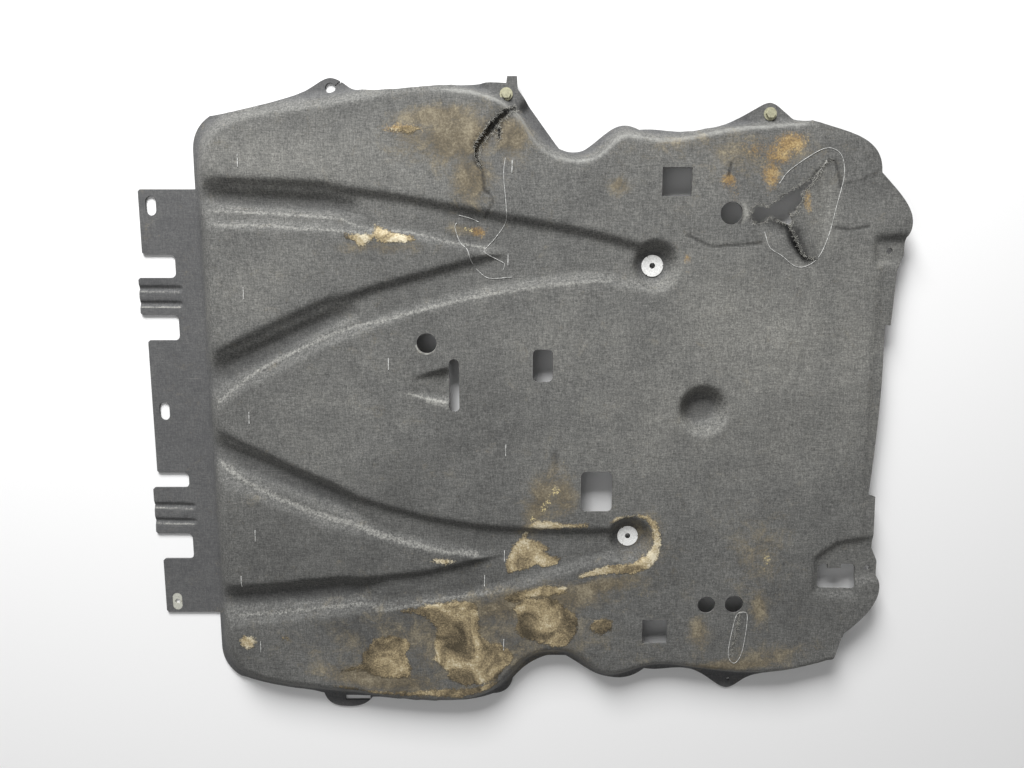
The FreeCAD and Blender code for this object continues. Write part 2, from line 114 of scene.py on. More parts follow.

# Creases and fine cracks in the sheet, as paths with a half width, a depth and how dark they are. The dark
# is painted shade along them; the two paths with no depth are painted shadow along the tear's lower lip,
# under the flap's edge.
CREASES = (
    (((207, 222), (220, 216), (236, 209), (262, 210), (297, 213)), 1.8, -1.3, 0.7),
    (((386, 231), (404, 229), (426, 233)), 1.7, -1.2, 0.7),
    (((381, 309), (386, 294), (390, 279)), 1.6, -1.4, 0.9),
    (((358, 297), (362, 280), (364, 262)), 1.5, -0.8, 0.5),
    (((395, 287), (410, 290), (430, 299)), 2.4, 0.7, 0.0),
    (((-51, 315), (-50, 307), (-43, 298), (-41, 286), (-40, 276), (-35, 272)), 1.5, -1.6, 1.0),
    (((-35, 272), (-30, 262), (-36, 250), (-40, 243)), 1.3, -0.8, 0.6),
    (((256, 307), (255, 300), (254, 293)), 1.4, -1.5, 1.0),
    (((335, 227), (341, 214), (349, 200)), 5.0, 0.0, 1.0),
    (((373, 311), (365, 303), (356, 293), (348, 282)), 1.7, -0.8, 0.95),
    (((322, 235), (332, 231), (340, 228)), 3.0, 0.0, 0.8),
)

# Grooves pressed across the two short front tabs: front and rear ends.
TAB_GROOVES = (
    ((-480, 157.5), (-427, 157.2)), ((-480, 138.5), (-428, 138.0)),
    ((-480, -126.0), (-428, -127.5)), ((-480, -147.0), (-427.5, -148.5)),
)
# Pale lines along the grooves, the funnel, a hole's rim and the tabs: path, half width and strength. Along
# the grooves they are wear from rubbing and painted highlight on the lit lower lips; at the funnel, the
# hole's lower rim and beside the tabs' grooves they are painted highlight.
RUBBED_AND_LIT_LINES = (
    ((
        (-377, 252), (-344, 251), (-286, 248), (-222, 243), (-195, 234), (-170, 228), (-133, 227),
        (-95, 217), (-59, 211), (-40, 208),
    ), 2.6, 0.68),
    (((-370, 235), (-300, 234), (-273, 231), (-233, 229), (-211, 227), (-173, 223)), 3.6, 0.6),
    ((
        (-377, 16), (-347, 41), (-319, 60), (-270, 84), (-214, 108), (-159, 121), (-108, 135),
        (-58, 147), (-3, 156), (52, 163), (113, 168),
    ), 4.2, 0.58),
    ((
        (-383, -64), (-371, -73), (-341, -93), (-295, -115), (-257, -131), (-205, -147), (-179, -158),
        (-153, -165), (-100, -179), (-53, -184),
    ), 6.0, 0.6),
    ((
        (-368, -270), (-288, -263), (-200, -254), (-176, -260), (-128, -251), (-75, -242), (-21, -233),
    ), 4.2, 0.55),
    (((-126, 88), (-122, 81), (-114, 78), (-106, 81), (-101, 87)), 1.3, 1.3),
    (((-136, 27), (-110, 20), (-88, 16)), 2.6, 0.8),
    (((-114, 17), (-100, 14), (-88, 11)), 3.0, 0.7),
    (((272, 260), (277, 249), (273, 238)), 3.0, 0.75),
    (((-478, 153.5), (-450, 153.2), (-428, 153.0)), 1.3, 0.9),
    (((-478, 134.5), (-450, 134.2), (-428, 134.0)), 1.3, 0.9),
    (((-478, -130.0), (-450, -130.8), (-428, -131.5)), 1.3, 0.9),
    (((-478, -151.0), (-450, -151.8), (-428, -152.5)), 1.3, 0.9),
)

# Recess that deepens towards the long slot: its outline, depth at the slot and width of its walls.
FUNNEL = ((-135, 37), (-132, 48), (-109, 56), (-86, 61), (-87, 15), (-110, 18), (-136, 27))
FUNNEL_DEPTH = 4.5
FUNNEL_WALL = 6.0
TAB_GROOVE_HALF = 3.0
TAB_GROOVE_DEPTH = 2.0

# Dried mud and torn-up fibre: how pale each patch is, and its outline.
MUD_PATCHES = (
    (0.0, (
        (-204, -319), (-190, -301), (-168, -295), (-146, -298), (-141, -308), (-147, -319),
        (-138, -338), (-141, -352), (-162, -355), (-188, -352), (-209, -344), (-232, -344),
        (-208, -335),
    )),
    (0.2, (
        (-160, -262), (-123, -254), (-90, -248), (-54, -246), (-51, -272), (-50, -299), (-23, -305),
        (-5, -319), (-3, -327), (-18, -340), (-25, -355), (-44, -363), (-68, -366), (-91, -355),
        (-94, -344), (-109, -327), (-111, -308), (-106, -285), (-121, -269), (-136, -263),
    )),
    (0.0, (
        (42, -240), (52, -246), (73, -263), (80, -272), (79, -291), (63, -308), (45, -310), (27, -305),
        (6, -298), (-2, -285), (1, -272), (-5, -258), (10, -243),
    )),
    (0.15, (
        (-20, -242), (3, -233), (39, -225), (65, -228), (62, -235), (42, -240), (10, -243), (-5, -250),
    )),
    (0.2, (
        (94, -284), (102, -274), (115, -269), (125, -272), (124, -285), (112, -295), (99, -291),
    )),
    (0.2, (
        (-249, -363), (-217, -366), (-170, -375), (-123, -372), (-81, -370), (-49, -366), (-25, -356),
        (-23, -363), (-49, -375), (-76, -383), (-123, -380), (-183, -378), (-225, -372),
    )),
    (0.9, (
        (-113, -193), (-109, -189), (-89, -188), (-79, -192), (-84, -195), (-94, -198), (-104, -194),
    )),
    (0.6, (
        (-14, -210), (-15, -197), (-9, -176), (4, -164), (10, -154), (14, -155), (13, -164), (28, -170),
        (46, -181), (37, -183), (44, -189), (64, -189), (55, -196), (51, -201), (30, -205), (28, -201),
        (21, -202), (15, -206), (-5, -210),
    )),
    (0.45, (
        (12, -149), (17, -139), (26, -134), (33, -138), (46, -139), (60, -141), (92, -142), (90, -147),
        (60, -148), (29, -151),
    )),
    (0.55, (
        (121, -141), (125, -134), (150, -129), (168, -131), (179, -138), (185, -159), (185, -176),
        (179, -193), (166, -204), (148, -209), (115, -211), (83, -215), (79, -213), (101, -201),
        (126, -196), (148, -197), (166, -185), (175, -168), (173, -149), (164, -136), (150, -133),
        (132, -136),
    )),
    (0.75, (
        (-211, 223), (-202, 224), (-178, 224), (-174, 230), (-177, 238), (-163, 232), (-143, 224),
        (-128, 223), (-124, 216), (-143, 212), (-157, 212), (-170, 215), (-173, 219), (-184, 213),
        (-194, 210), (-200, 216), (-210, 218),
    )),
    (0.8, (
        (-364, -301), (-359, -295), (-347, -296), (-343, -304), (-348, -310), (-356, -313),
        (-362, -308),
    )),
    (0.5, (
        (-311, -297), (-307, -294), (-301, -296), (-297, -303), (-301, -302), (-308, -300),
    )),
    (0.4, (
        (-155, 348), (-140, 350), (-118, 347), (-130, 343), (-150, 344),
    )),
)
PATCH_EDGE = 12.0

# Films, stains and darker and paler areas, as ovals (x, y, half width, half length, turn in degrees,
# strength), in millimetres.
RUST = (
    (326, 331, 19, 12, 0, 1.0), (304, 294, 11, 17, 5, 0.9), (312, 318, 20, 14, 0, 0.75),
    (254, 288, 9, 8, 0, 1.0), (262, 274, 9, 10, 0, 0.4), (207, 193, 4, 15, 5, 0.6),
    (-49, 227, 9, 6, -12, 1.0), (349, 262, 6, 14, 8, 0.75), (285, 325, 22, 12, 0, 0.45),
    (-140, 348, 24, 6, 0, 0.7),
)
GOLD = (
    (323, -190, 9, 17, -12, 0.72), (318, -208, 8, 8, 0, 0.62), (308, -216, 5, 6, 0, 0.66),
    (328, -170, 8, 12, 0, 0.55), (-60, 229, 12, 5, -12, 0.75), (60, -120, 20, 30, 0, 0.45),
    (160, -237, 36, 10, -10, 0.52), (36, -118, 9, 22, -30, 0.7), (48, -98, 10, 18, -20, 0.7),
    (240, -215, 60, 30, 0, 0.4), (60, -60, 14, 20, 0, 0.5), (20, -136, 12, 12, 0, 0.6),
)
BROWN = (
    (-75, 336, 44, 30, 15, 1.15), (-56, 290, 24, 32, 0, 1.0), (-95, 362, 50, 13, 5, 1.0),
    (-8, 338, 22, 24, 0, 1.1), (-125, 335, 34, 24, 0, 0.6), (123, 282, 12, 11, 0, 0.9),
    (290, -336, 70, 8, 4, 1.0), (330, -325, 60, 16, 12, 0.6), (-60, -310, 190, 56, 0, 0.55),
    (-180, -355, 80, 18, -8, 1.1), (30, -110, 20, 50, -20, 0.85), (58, -105, 20, 34, 0, 0.8),
    (316, -254, 12, 26, 0, 0.8), (239, -292, 14, 26, 0, 0.8), (310, -180, 40, 50, 0, 0.45),
    (110, -226, 60, 12, 10, 0.9), (280, 320, 80, 26, 0, 0.5), (-170, 208, 60, 8, 0, 0.6),
    (200, 330, 90, 12, 5, 0.4), (20, -250, 100, 22, 8, 1.0), (165, -165, 36, 40, 0, 0.5),
    (-62, 230, 22, 8, -12, 0.7),
)
# Darker areas. Those on the dished lip under the torn flap, under the torn bridge by the round holes, at the
# rear ear pad's step, along the crack, at the end of one of the creases and at the small dent are painted
# shadow and shade.
DARKENING_AND_SHADE = (
    (-80, -260, 330, 120, 0, 0.7), (120, -150, 200, 80, 0, 0.4), (340, 220, 24, 9, -58, 2.6),
    (318, 232, 16, 8, -25, 1.2), (330, -255, 90, 70, 0, 0.6), (-30, -30, 80, 60, 0, 0.35),
    (300, -110, 80, 60, 0, 0.35), (100, 262, 60, 30, 0, 0.4), (250, 232, 40, 10, -10, 0.5),
    (-34, 344, 8, 30, -42, 1.6), (-46, 300, 4, 30, 0, 0.8), (49, -64, 4, 16, 0, 1.3),
    (-300, 60, 200, 200, 0, 0.2), (-60, 215, 60, 20, -10, 0.4), (273, 236, 7, 4, 0, 1.4),
    (254, 291, 3, 5, 0, 1.2), (462, 221, 20, 6, 5, 0.9), (-36, 352, 26, 10, 45, 0.9),
    (-190, -288, 110, 34, 0, 0.9), (47, -52, 5, 12, 0, 1.4), (-55, -330, 16, 30, 20, 0.9),
)
PALE = (
    (270, 60, 190, 200, 0, 0.7), (150, 260, 190, 60, 0, 0.3), (80, 30, 100, 150, 0, 0.4),
    (-260, 312, 140, 44, 0, 1.0), (290, 100, 120, 90, 0, 1.3), (418, 80, 40, 150, 0, 1.1),
    (370, -60, 80, 120, 0, 0.4), (370, 250, 24, 55, 0, 1.3), (276, 249, 5, 12, 0, 2.0),
    (-330, 140, 90, 60, 0, 0.5), (-200, 0, 110, 70, 0, 0.4),
)

# Pulled threads round the damage, as smooth paths.
PULLED_THREADS = (
    (
        (315, 284), (326, 299), (353, 318), (370, 325), (383, 321), (390, 310), (392, 289), (386, 259),
        (377, 220), (366, 195), (351, 185), (338, 186), (322, 198), (307, 208), (300, 227),
    ),
    (
        (-15, 314), (-17, 293), (-14, 257), (-15, 238), (-28, 219), (-40, 206), (-39, 201), (-24, 193),
        (-16, 188), (-18, 181),
    ),
    ((-51, 182), (-36, 171), (-7, 172)),
    ((-74, 238), (-77, 233), (-71, 215), (-62, 206), (-58, 194), (-55, 188)),
    ((-72, 247), (-57, 243), (-48, 239)),
    ((295, -262), (286, -268), (278, -317), (286, -333), (296, -317), (301, -268), (294, -261)),
)
# Middles of the short white stitches.
STITCHES = (
    (-336, 311), (-337, 153), (-338, -3), (-338, -158), (-338, -310), (-161, 65), (-7, 304), (-12, 194),
    (-15, -45), (-17, -188), (-18, -307), (-359, -220), (-43, -222),
)
STITCH_LENGTH = 15.0
THREAD_RADIUS = 0.36
STITCH_RADIUS = 0.55
STITCH_LEAN = 0.3
STITCH_POINTS = 6
THREAD_STEP = 2.0

# Ragged lower lip inside the crack: its far and near edges, how far each row drops, and its gauge.
LIP_FAR = ((-53, 313), (-54, 330), (-36, 357), (-20, 370), (-9, 376))
LIP_NEAR = ((-44, 313), (-42, 328), (-24, 348), (-11, 360), (2, 368))
LIP_STEP = 1.5
LIP_SHARES = (0.0, 0.35, 0.7, 1.0)
LIP_DROPS = (1.0, 4.0, 7.0, 8.5)
LIP_GAUGE = 2.0

# Loose fibres along the breaks, in millimetres.
FIBRE_SPACING = 0.5
FIBRE_SHORTEST = 1.5
FIBRE_LONGEST = 4.4
FIBRE_SEED = 5

# Fasteners: tint and dirt of each steel, the steel of each piece, and eased edges (millimetres, degrees).
STEELS = {
    "washer_steel": ((0.95, 0.95, 0.93), 0.1),
    "screw_steel": ((0.4, 0.39, 0.27), 0.45),
    "bush_steel": ((0.5, 0.5, 0.44), 0.6),
}
FASTENERS = {
    "upper_well_washer": "washer_steel",
    "lower_well_washer": "washer_steel",
    "front_ear_screw": "screw_steel",
    "rear_ear_screw": "screw_steel",
    "slot_bush": "bush_steel",
}
WELD_REACH = 0.01
EASED_EDGE = 0.25
EASED_ANGLE = 40.0

# Floor, room and soft lamps. The floor's depth is in millimetres, the other lengths are in metres.
FLOOR_COLOUR = (0.85, 0.85, 0.85, 1)
FLOOR_DEPTH = 0.2
FLOOR_HALF = 2.5
ROOM_LIGHT = 0.2
ROOM_SEEN = 0.9
LAMPS = (
    ("key_softbox", (-0.5, 2.3, 1.5), 1.2, 135),
    ("fill_softbox", (-1.2, -0.4, 2.4), 2.0, 10),
)

# Camera at the photograph's angle: place in metres, tilt in degrees, focal length and frame width in pixels.
CAMERA_PLACE = (-0.007, 0.182, 0.983)
CAMERA_TILT = 8.5
CAMERA_FOCAL = 769
FRAME_WIDTH = 1024
SENSOR_WIDTH = 36

rng = np.random.default_rng(7)


def smooth_path(points, step):
    """Points along a smooth line through the given ones, about one step apart."""
    places = [np.array(p, float) for p in points]
    places = [2 * places[0] - places[1]] + places + [2 * places[-1] - places[-2]]
    path = []
    for a, b, c, d in zip(places, places[1:], places[2:], places[3:]):
        count = max(2, int(np.linalg.norm(c - b) / step))
        for t in np.arange(count) / count:
            path.append(0.5 * (2 * b + (c - a) * t + (2 * a - 5 * b + 4 * c - d) * t ** 2
                               + (3 * b - a - 3 * c + d) * t ** 3))
    path.append(places[-2])
    return np.array(path)


def distance_to_path(x, y, path):
    """Distance of each place to the nearest point of a path."""
    nearest = np.full(np.shape(x), 1e9)
    for px, py in path:
        nearest = np.minimum(nearest, np.hypot(x - px, y - py))
    return nearest


def spot(x, y, middle_x, middle_y, half_x, half_y, turn=0.0):
    """1 in the middle of an oval, 0.37 at its edge and fading outside."""
    angle = math.radians(turn)
    dx, dy = x - middle_x, y - middle_y
    along = dx * math.cos(angle) + dy * math.sin(angle)
    across = dy * math.cos(angle) - dx * math.sin(angle)
    return np.exp(-((along / half_x) ** 2 + (across / half_y) ** 2))


def gentle_waves(x, y):
    """Slow rise and fall of a sheet that has been warm and bent, in millimetres."""
    total = np.zeros(np.shape(x))
    for length, height in ((160, 0.45), (95, 0.3), (60, 0.2), (36, 0.1), (22, 0.05)):
        for angle in rng.uniform(0, 2 * math.pi, 4):
            phase = rng.uniform(0, 2 * math.pi)
            across = x * math.cos(angle) + y * math.sin(angle)
            total += height * 0.5 * np.sin(across * 2 * math.pi / length + phase)
    return total


class Heights:
    """Height of the felt's road side over the plan, sampled from the solid and softened."""

    def __init__(self, tree):
        self.x = np.arange(-FIELD_HALF_X, FIELD_HALF_X + 1, SAMPLE_STEP)
        self.y = np.arange(-FIELD_HALF_Y, FIELD_HALF_Y + 1, SAMPLE_STEP)
        self.mask = np.zeros((len(self.x), len(self.y)))
        raw = np.zeros_like(self.mask)
        for i, x in enumerate(self.x):
            for j, y in enumerate(self.y):
                hit = tree.ray_cast(Vector((x, y, ABOVE_ALL)), DOWN)[0]
                if hit is not None:
                    self.mask[i, j] = 1
                    raw[i, j] = hit.z
        raw = self.one_wall(raw)
        spread = CORNER_SPREAD / SAMPLE_STEP
        cover = self.blurred(self.mask, spread)
        self.z = self.blurred(raw * self.mask, spread) / np.maximum(cover, 1e-4)
        wide = FRONT_SPREAD / SAMPLE_STEP
        soft = self.blurred(raw * self.mask, wide) / np.maximum(self.blurred(self.mask, wide), 1e-4)
        self.z += (soft - self.z) * np.exp(-((self.x - FRONT_WALL) / FRONT_REACH) ** 2)[:, None]
        around = sum(np.roll(self.z, step, axis) for axis in (0, 1) for step in (-1, 1)) / 4
        self.bend = self.blurred((self.z - around) * self.mask, 0.6)
        broad = 4 * spread
        slow = self.blurred(self.z * self.mask, broad) / np.maximum(self.blurred(self.mask, broad), 1e-4)
        self.sunk = (slow - self.z) * self.mask
        self.add_breaks()

    def one_wall(self, raw):
        """The troughs' upper walls in one slope with the grooves' walls above them."""
        eased = raw.copy()
        low, high = GENTLE_WALL
        slope = np.where((self.y > low) & (self.y < high), GENTLE_SLOPE, WALL_SLOPE)
        for k in range(1, WALL_SAMPLES + 1):
            climb = max(0, k * SAMPLE_STEP - FLOOR_REACH) * slope
            eased = np.minimum(eased, np.roll(raw, k, axis=1) + climb)
        share = np.clip((TROUGH_END - self.x) / TROUGH_FADE, 0, 1) * (self.x > TROUGH_START)
        share = share[:, None] * (np.abs(self.y) < TROUGH_HALF)
        return raw + (eased - raw) * share

    @staticmethod
    def blurred(field, spread):
        reach = int(3 * spread) + 1
        weights = np.exp(-0.5 * (np.arange(-reach, reach + 1) / spread) ** 2)
        weights /= weights.sum()
        for axis in (0, 1):
            field = np.apply_along_axis(np.convolve, axis, field, weights, "same")
        return field

    def add_breaks(self):
        x, y = np.meshgrid(self.x, self.y, indexing="ij")
        raised = np.clip((self.z - FELT_GAUGE) / RAISED_OVER, 0, 1)
        change = gentle_waves(x, y)
        for mx, my, half_x, half_y, turn, lift in DENTS:
            change += lift * spot(x, y, mx, my, half_x, half_y, turn)
        self.dark = np.zeros_like(self.z)
        self.lined = np.zeros_like(self.z)
        for points, half, depth, dark in CREASES:
            away = distance_to_path(x, y, smooth_path(points, 1))
            change += depth * np.exp(-(away / half) ** 2)
            self.dark = np.maximum(self.dark, dark * np.exp(-(away / half) ** 2))
            self.lined = np.maximum(self.lined, away < 2.5 * half)
        self.rubbed_and_lit = np.zeros_like(self.z)
        for points, half, strength in RUBBED_AND_LIT_LINES:
            away = distance_to_path(x, y, smooth_path(points, 2))
            self.rubbed_and_lit = np.maximum(self.rubbed_and_lit, strength * np.exp(-(away / half) ** 2))
            if half < LINE_STEP:
                self.lined = np.maximum(self.lined, away < 2 * half)
        into = depth_inside(np.column_stack([x.ravel(), y.ravel()]), FUNNEL).reshape(x.shape)
        taper = np.clip((x - FUNNEL[0][0]) / (FUNNEL[3][0] - FUNNEL[0][0]), 0, 1)
        change -= FUNNEL_DEPTH * taper * np.clip(into / FUNNEL_WALL, 0, 1)
        self.lined = np.maximum(self.lined, into > -2)
        self.z = self.z + change * raised
        for front, rear in TAB_GROOVES:
            away = distance_to_path(x, y, np.linspace(front, rear, 60))
            self.z -= TAB_GROOVE_DEPTH * np.exp(-(away / TAB_GROOVE_HALF) ** 4)
            self.lined = np.maximum(self.lined, away < 2 * TAB_GROOVE_HALF)
        slope = np.hypot(*np.gradient(self.z, SAMPLE_STEP))
        self.steep = self.blurred(np.clip(slope / 0.6, 0, 1) * self.mask, 1.5)

    def at(self, field, x, y):
        """A field's value between its samples."""
        i = np.clip((np.asarray(x) + FIELD_HALF_X) / SAMPLE_STEP, 0, len(self.x) - 1.001)
        j = np.clip((np.asarray(y) + FIELD_HALF_Y) / SAMPLE_STEP, 0, len(self.y) - 1.001)
        i0, j0 = i.astype(int), j.astype(int)
        u, v = i - i0, j - j0
        return (field[i0, j0] * (1 - u) * (1 - v) + field[i0 + 1, j0] * u * (1 - v)
                + field[i0, j0 + 1] * (1 - u) * v + field[i0 + 1, j0 + 1] * u * v)

    def busy(self):
        """Where the face bends within a few samples, so that the skin needs small triangles."""
        low, high = self.z.copy(), self.z.copy()
        for di in (-2, 0, 2):
            for dj in (-2, 0, 2):
                moved = np.roll(np.roll(self.z, di, 0), dj, 1)
                low, high = np.minimum(low, moved), np.maximum(high, moved)
        return (high - low > BUSY_BEND).astype(float)


def solid_copy(node):
    """The node's solid in millimetres, with its doubled corners joined."""
    solid = bmesh.new()
    solid.from_mesh(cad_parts[node].data)
    bmesh.ops.scale(solid, vec=(1 / MM,) * 3, verts=solid.verts)
    bmesh.ops.remove_doubles(solid, verts=solid.verts, dist=0.01)
    bmesh.ops.triangulate(solid, faces=solid.faces)
    solid.normal_update()
    return solid


def on_flap(face):
    middle = face.calc_center_median()
    inside = TEAR_LOW[0] < middle.x < TEAR_HIGH[0] and TEAR_LOW[1] < middle.y < TEAR_HIGH[1]
    return inside and face.normal.z < FLAP_TILT


def rim_loops(faces):
    """Closed loops of points round the faces, outline and openings alike."""
    chosen = set(faces)
    bordering = (e for f in faces for e in f.edges)
    open_edges = dict.fromkeys(e for e in bordering if sum(g in chosen for g in e.link_faces) == 1)
    at_corner = {}
    for edge in open_edges:
        for corner in edge.verts:
            at_corner.setdefault(corner, []).append(edge)
    loops = []
    while open_edges:
        edge = next(iter(open_edges))
        del open_edges[edge]
        loop = list(edge.verts)
        following = [edge]
        while following:
            following = [e for e in at_corner[loop[-1]] if e in open_edges]
            if following:
                del open_edges[following[0]]
                loop.append(following[0].other_vert(loop[-1]))
        loops.append(np.array([v.co[:2] for v in loop[:-1]]))
    return [loop for loop in loops if len(loop) > 2]


def is_broken(points):
    middle = points.mean(axis=0)
    return any(x0 < middle[0] < x1 and y0 < middle[1] < y1 for x0, y0, x1, y1 in BROKEN_EDGES)


def stepped_loop(points):
    """The loop with even steps between its corners, frayed where the felt is broken."""
    broken = is_broken(points)
    step = RAGGED_STEP if broken else EDGE_STEP
    before = points - np.roll(points, 1, axis=0)
    after = np.roll(points, -1, axis=0) - points
    turn = np.abs(np.angle((after[:, 0] + 1j * after[:, 1]) / (before[:, 0] + 1j * before[:, 1])))
    corners = np.flatnonzero(turn > CORNER_TURN)
    start = corners[0] if len(corners) else 0
    points, turn = np.roll(points, -start, axis=0), np.roll(turn, -start)
    closed = np.vstack([points, points[:1]])
    marks = np.concatenate([[0], np.cumsum(np.hypot(*np.diff(closed, axis=0).T))])
    stops = [marks[i] for i in range(len(points)) if i == 0 or turn[i] > CORNER_TURN] + [marks[-1]]
    places = []
    for a, b in zip(stops, stops[1:]):
        count = max(1, round((b - a) / step))
        places.extend(a + (b - a) * k / count for k in range(count))
    x, y = np.interp(places, marks, closed[:, 0]), np.interp(places, marks, closed[:, 1])
    if broken:
        for k in range(len(x)):
            x[k] += RAGGED_DEPTH * noise.noise(Vector((x[k] * 0.35, y[k] * 0.35, 3)))
            y[k] += RAGGED_DEPTH * noise.noise(Vector((x[k] * 0.35, y[k] * 0.35, 9)))
    return np.column_stack([x, y])


def staggered(step):
    """Places in offset rows over the whole plan, each a little out of line."""
    rows = []
    for row, y in enumerate(np.arange(-FIELD_HALF_Y, FIELD_HALF_Y, step * 0.866)):
        x = np.arange(-FIELD_HALF_X, FIELD_HALF_X, step) + (row % 2) * step / 2
        rows.append(np.column_stack([x, np.full(len(x), y)]))
    places = np.vstack(rows)
    return places + rng.uniform(-0.18, 0.18, places.shape) * step


def inner_places(heights, loops):
    """Places for the skin's corners away from its edges, close together where the face bends."""
    edge_points = np.vstack(loops)
    tree = kdtree.KDTree(len(edge_points))
    for k, (x, y) in enumerate(edge_points):
        tree.insert((x, y, 0), k)
    tree.balance()
    busy = heights.busy()
    kept = []
    for step, wanted in ((LINE_STEP, 3), (PATCH_STEP, 2), (FINE_STEP, 1), (COARSE_STEP, 0)):
        places = staggered(step)
        covered = heights.at(heights.mask, places[:, 0], places[:, 1]) > 0.99
        fineness = (heights.at(busy, places[:, 0], places[:, 1]) > 0.3).astype(int)
        rubbed_and_lit = heights.at(heights.rubbed_and_lit, places[:, 0], places[:, 1])
        fineness[(patches(places)[0] > 0) | (rubbed_and_lit > RUBBED_AND_LIT_FINE)] = 2
        fineness[heights.at(heights.lined, places[:, 0], places[:, 1]) > 0.3] = 3
        for x, y in places[covered & (fineness == wanted)]:
            if tree.find((x, y, 0))[2] > 0.6 * step:
                kept.append((x, y))
    return np.array(kept)


def triangulated(loops, places):
    """Triangles that fill the outline but not its openings: corner places and corner numbers."""
    corners = [Vector(p) for loop in loops for p in loop] + [Vector(p) for p in places]
    edges = []
    first = 0
    for loop in loops:
        edges.extend((first + k, first + (k + 1) % len(loop)) for k in range(len(loop)))
        first += len(loop)
    made = geometry.delaunay_2d_cdt(corners, edges, [], 0, 1e-4, False)
    plan = np.array([c[:] for c in made[0]])
    triangles = np.array(made[2])
    a, b, c = (plan[triangles[:, k]] for k in range(3))
    backwards = np.cross(b - a, c - a) < 0
    triangles[backwards] = triangles[backwards][:, ::-1]
    kept = inside_loops((a + b + c) / 3, loops)
    return plan, [tuple(t) for t in triangles[kept].tolist()]


def inside_loops(places, loops):
    """Whether each place lies inside the outline and outside its openings."""
    inside = np.zeros(len(places), bool)
    for loop in loops:
        for (ax, ay), (bx, by) in zip(loop, np.roll(loop, -1, axis=0)):
            if ay != by:
                level = (ay > places[:, 1]) != (by > places[:, 1])
                inside ^= level & (places[:, 0] < ax + (places[:, 1] - ay) * (bx - ax) / (by - ay))
    return inside


def sheet_mesh(name, plan, upper, lower, triangles):
    """Closed sheet between two height lists over one triangulated plan."""
    count = len(plan)
    corners = [(x * MM, y * MM, z * MM) for (x, y), z in zip(plan, upper)]
    corners += [(x * MM, y * MM, z * MM) for (x, y), z in zip(plan, lower)]
    faces = list(triangles) + [(c + count, b + count, a + count) for a, b, c in triangles]
    sides = {(a, b) for t in triangles for a, b in zip(t, t[1:] + t[:1])}
    rim = [(a, b) for a, b in sides if (b, a) not in sides]
    faces += [(b, a, a + count, b + count) for a, b in rim]
    mesh = bpy.data.meshes.new(name)
    mesh.from_pydata(corners, [], faces)
    used = bmesh.new()
    used.from_mesh(mesh)
    bmesh.ops.delete(used, geom=[v for v in used.verts if not v.link_faces], context="VERTS")
    for edge in used.edges:
        edge.smooth = edge.calc_face_angle(0) < SHARP_EDGE
    for face in used.faces:
        face.smooth = True
    used.to_mesh(mesh)
    used.free()
    return mesh


def add_object(name, mesh, *materials):
    piece = bpy.data.objects.new(name, mesh)
    bpy.context.scene.collection.objects.link(piece)
    for material in materials:
        mesh.materials.append(material)
    return piece


def write_attribute(mesh, name, values):
    attribute = mesh.attributes.new(name, "FLOAT", "POINT")
    attribute.data.foreach_set("value", np.asarray(values, np.float32))


def soiling(places, ovals):
    total = np.zeros(len(places))
    for x, y, half_x, half_y, turn, strength in ovals:
        total = np.maximum(total, strength * spot(places[:, 0], places[:, 1], x, y, half_x, half_y, turn))
    return total


def depth_inside(places, outline):
    """Distance of each place to a closed outline, positive inside."""
    outline = np.array(outline, float)
    nearest = np.full(len(places), 1e9)
    for a, b in zip(outline, np.roll(outline, -1, axis=0)):
        along = np.clip(((places[:, :2] - a) @ (b - a)) / ((b - a) @ (b - a)), 0, 1)
        nearest = np.minimum(nearest, np.hypot(*(places[:, :2] - a - along[:, None] * (b - a)).T))
    return np.where(inside_loops(places, [outline]), nearest, -nearest)


def patches(places):
    """How far each place is into a mud patch, 0.5 at the patch's edge, and how pale that patch is."""
    cover, tone = np.zeros(len(places)), np.zeros(len(places))
    for pale, outline in MUD_PATCHES:
        low, high = np.min(outline, axis=0) - PATCH_EDGE, np.max(outline, axis=0) + PATCH_EDGE
        near = np.flatnonzero(np.all((places[:, :2] > low) & (places[:, :2] < high), axis=1))
        depth = np.clip(0.5 + depth_inside(places[near], outline) / PATCH_EDGE, 0, 1)
        tone[near] = np.where(depth > cover[near], pale, tone[near])
        cover[near] = np.maximum(cover[near], depth)
    return cover, tone


def felt_panel(felt):
    """The moulded sheet with soft corners, frayed breaks, and its soiling, painted shade and painted
    highlights as attributes.
    """
    solid = solid_copy("splash_panel")
    upper = [f for f in solid.faces if f.normal.z > STEEPEST]
    panel_faces = [f for f in upper if not on_flap(f)]
    corners = [v.co for v in solid.verts]
    tree = BVHTree.FromPolygons(corners, [[v.index for v in f.verts] for f in panel_faces])
    heights = Heights(tree)
    loops = [stepped_loop(loop) for loop in rim_loops(panel_faces)]
    plan, triangles = triangulated(loops, inner_places(heights, loops))
    top = heights.at(heights.z, plan[:, 0], plan[:, 1])
    mesh = sheet_mesh("felt_panel", plan, top, np.maximum(top - FELT_GAUGE, 0), triangles)
    paint(mesh, heights)
    flap_loop = max(rim_loops([f for f in upper if on_flap(f)]), key=len)
    solid.free()
    frayed = [loop for loop in loops if is_broken(loop)]
    return add_object("felt_panel", mesh, felt), heights, flap_loop, frayed


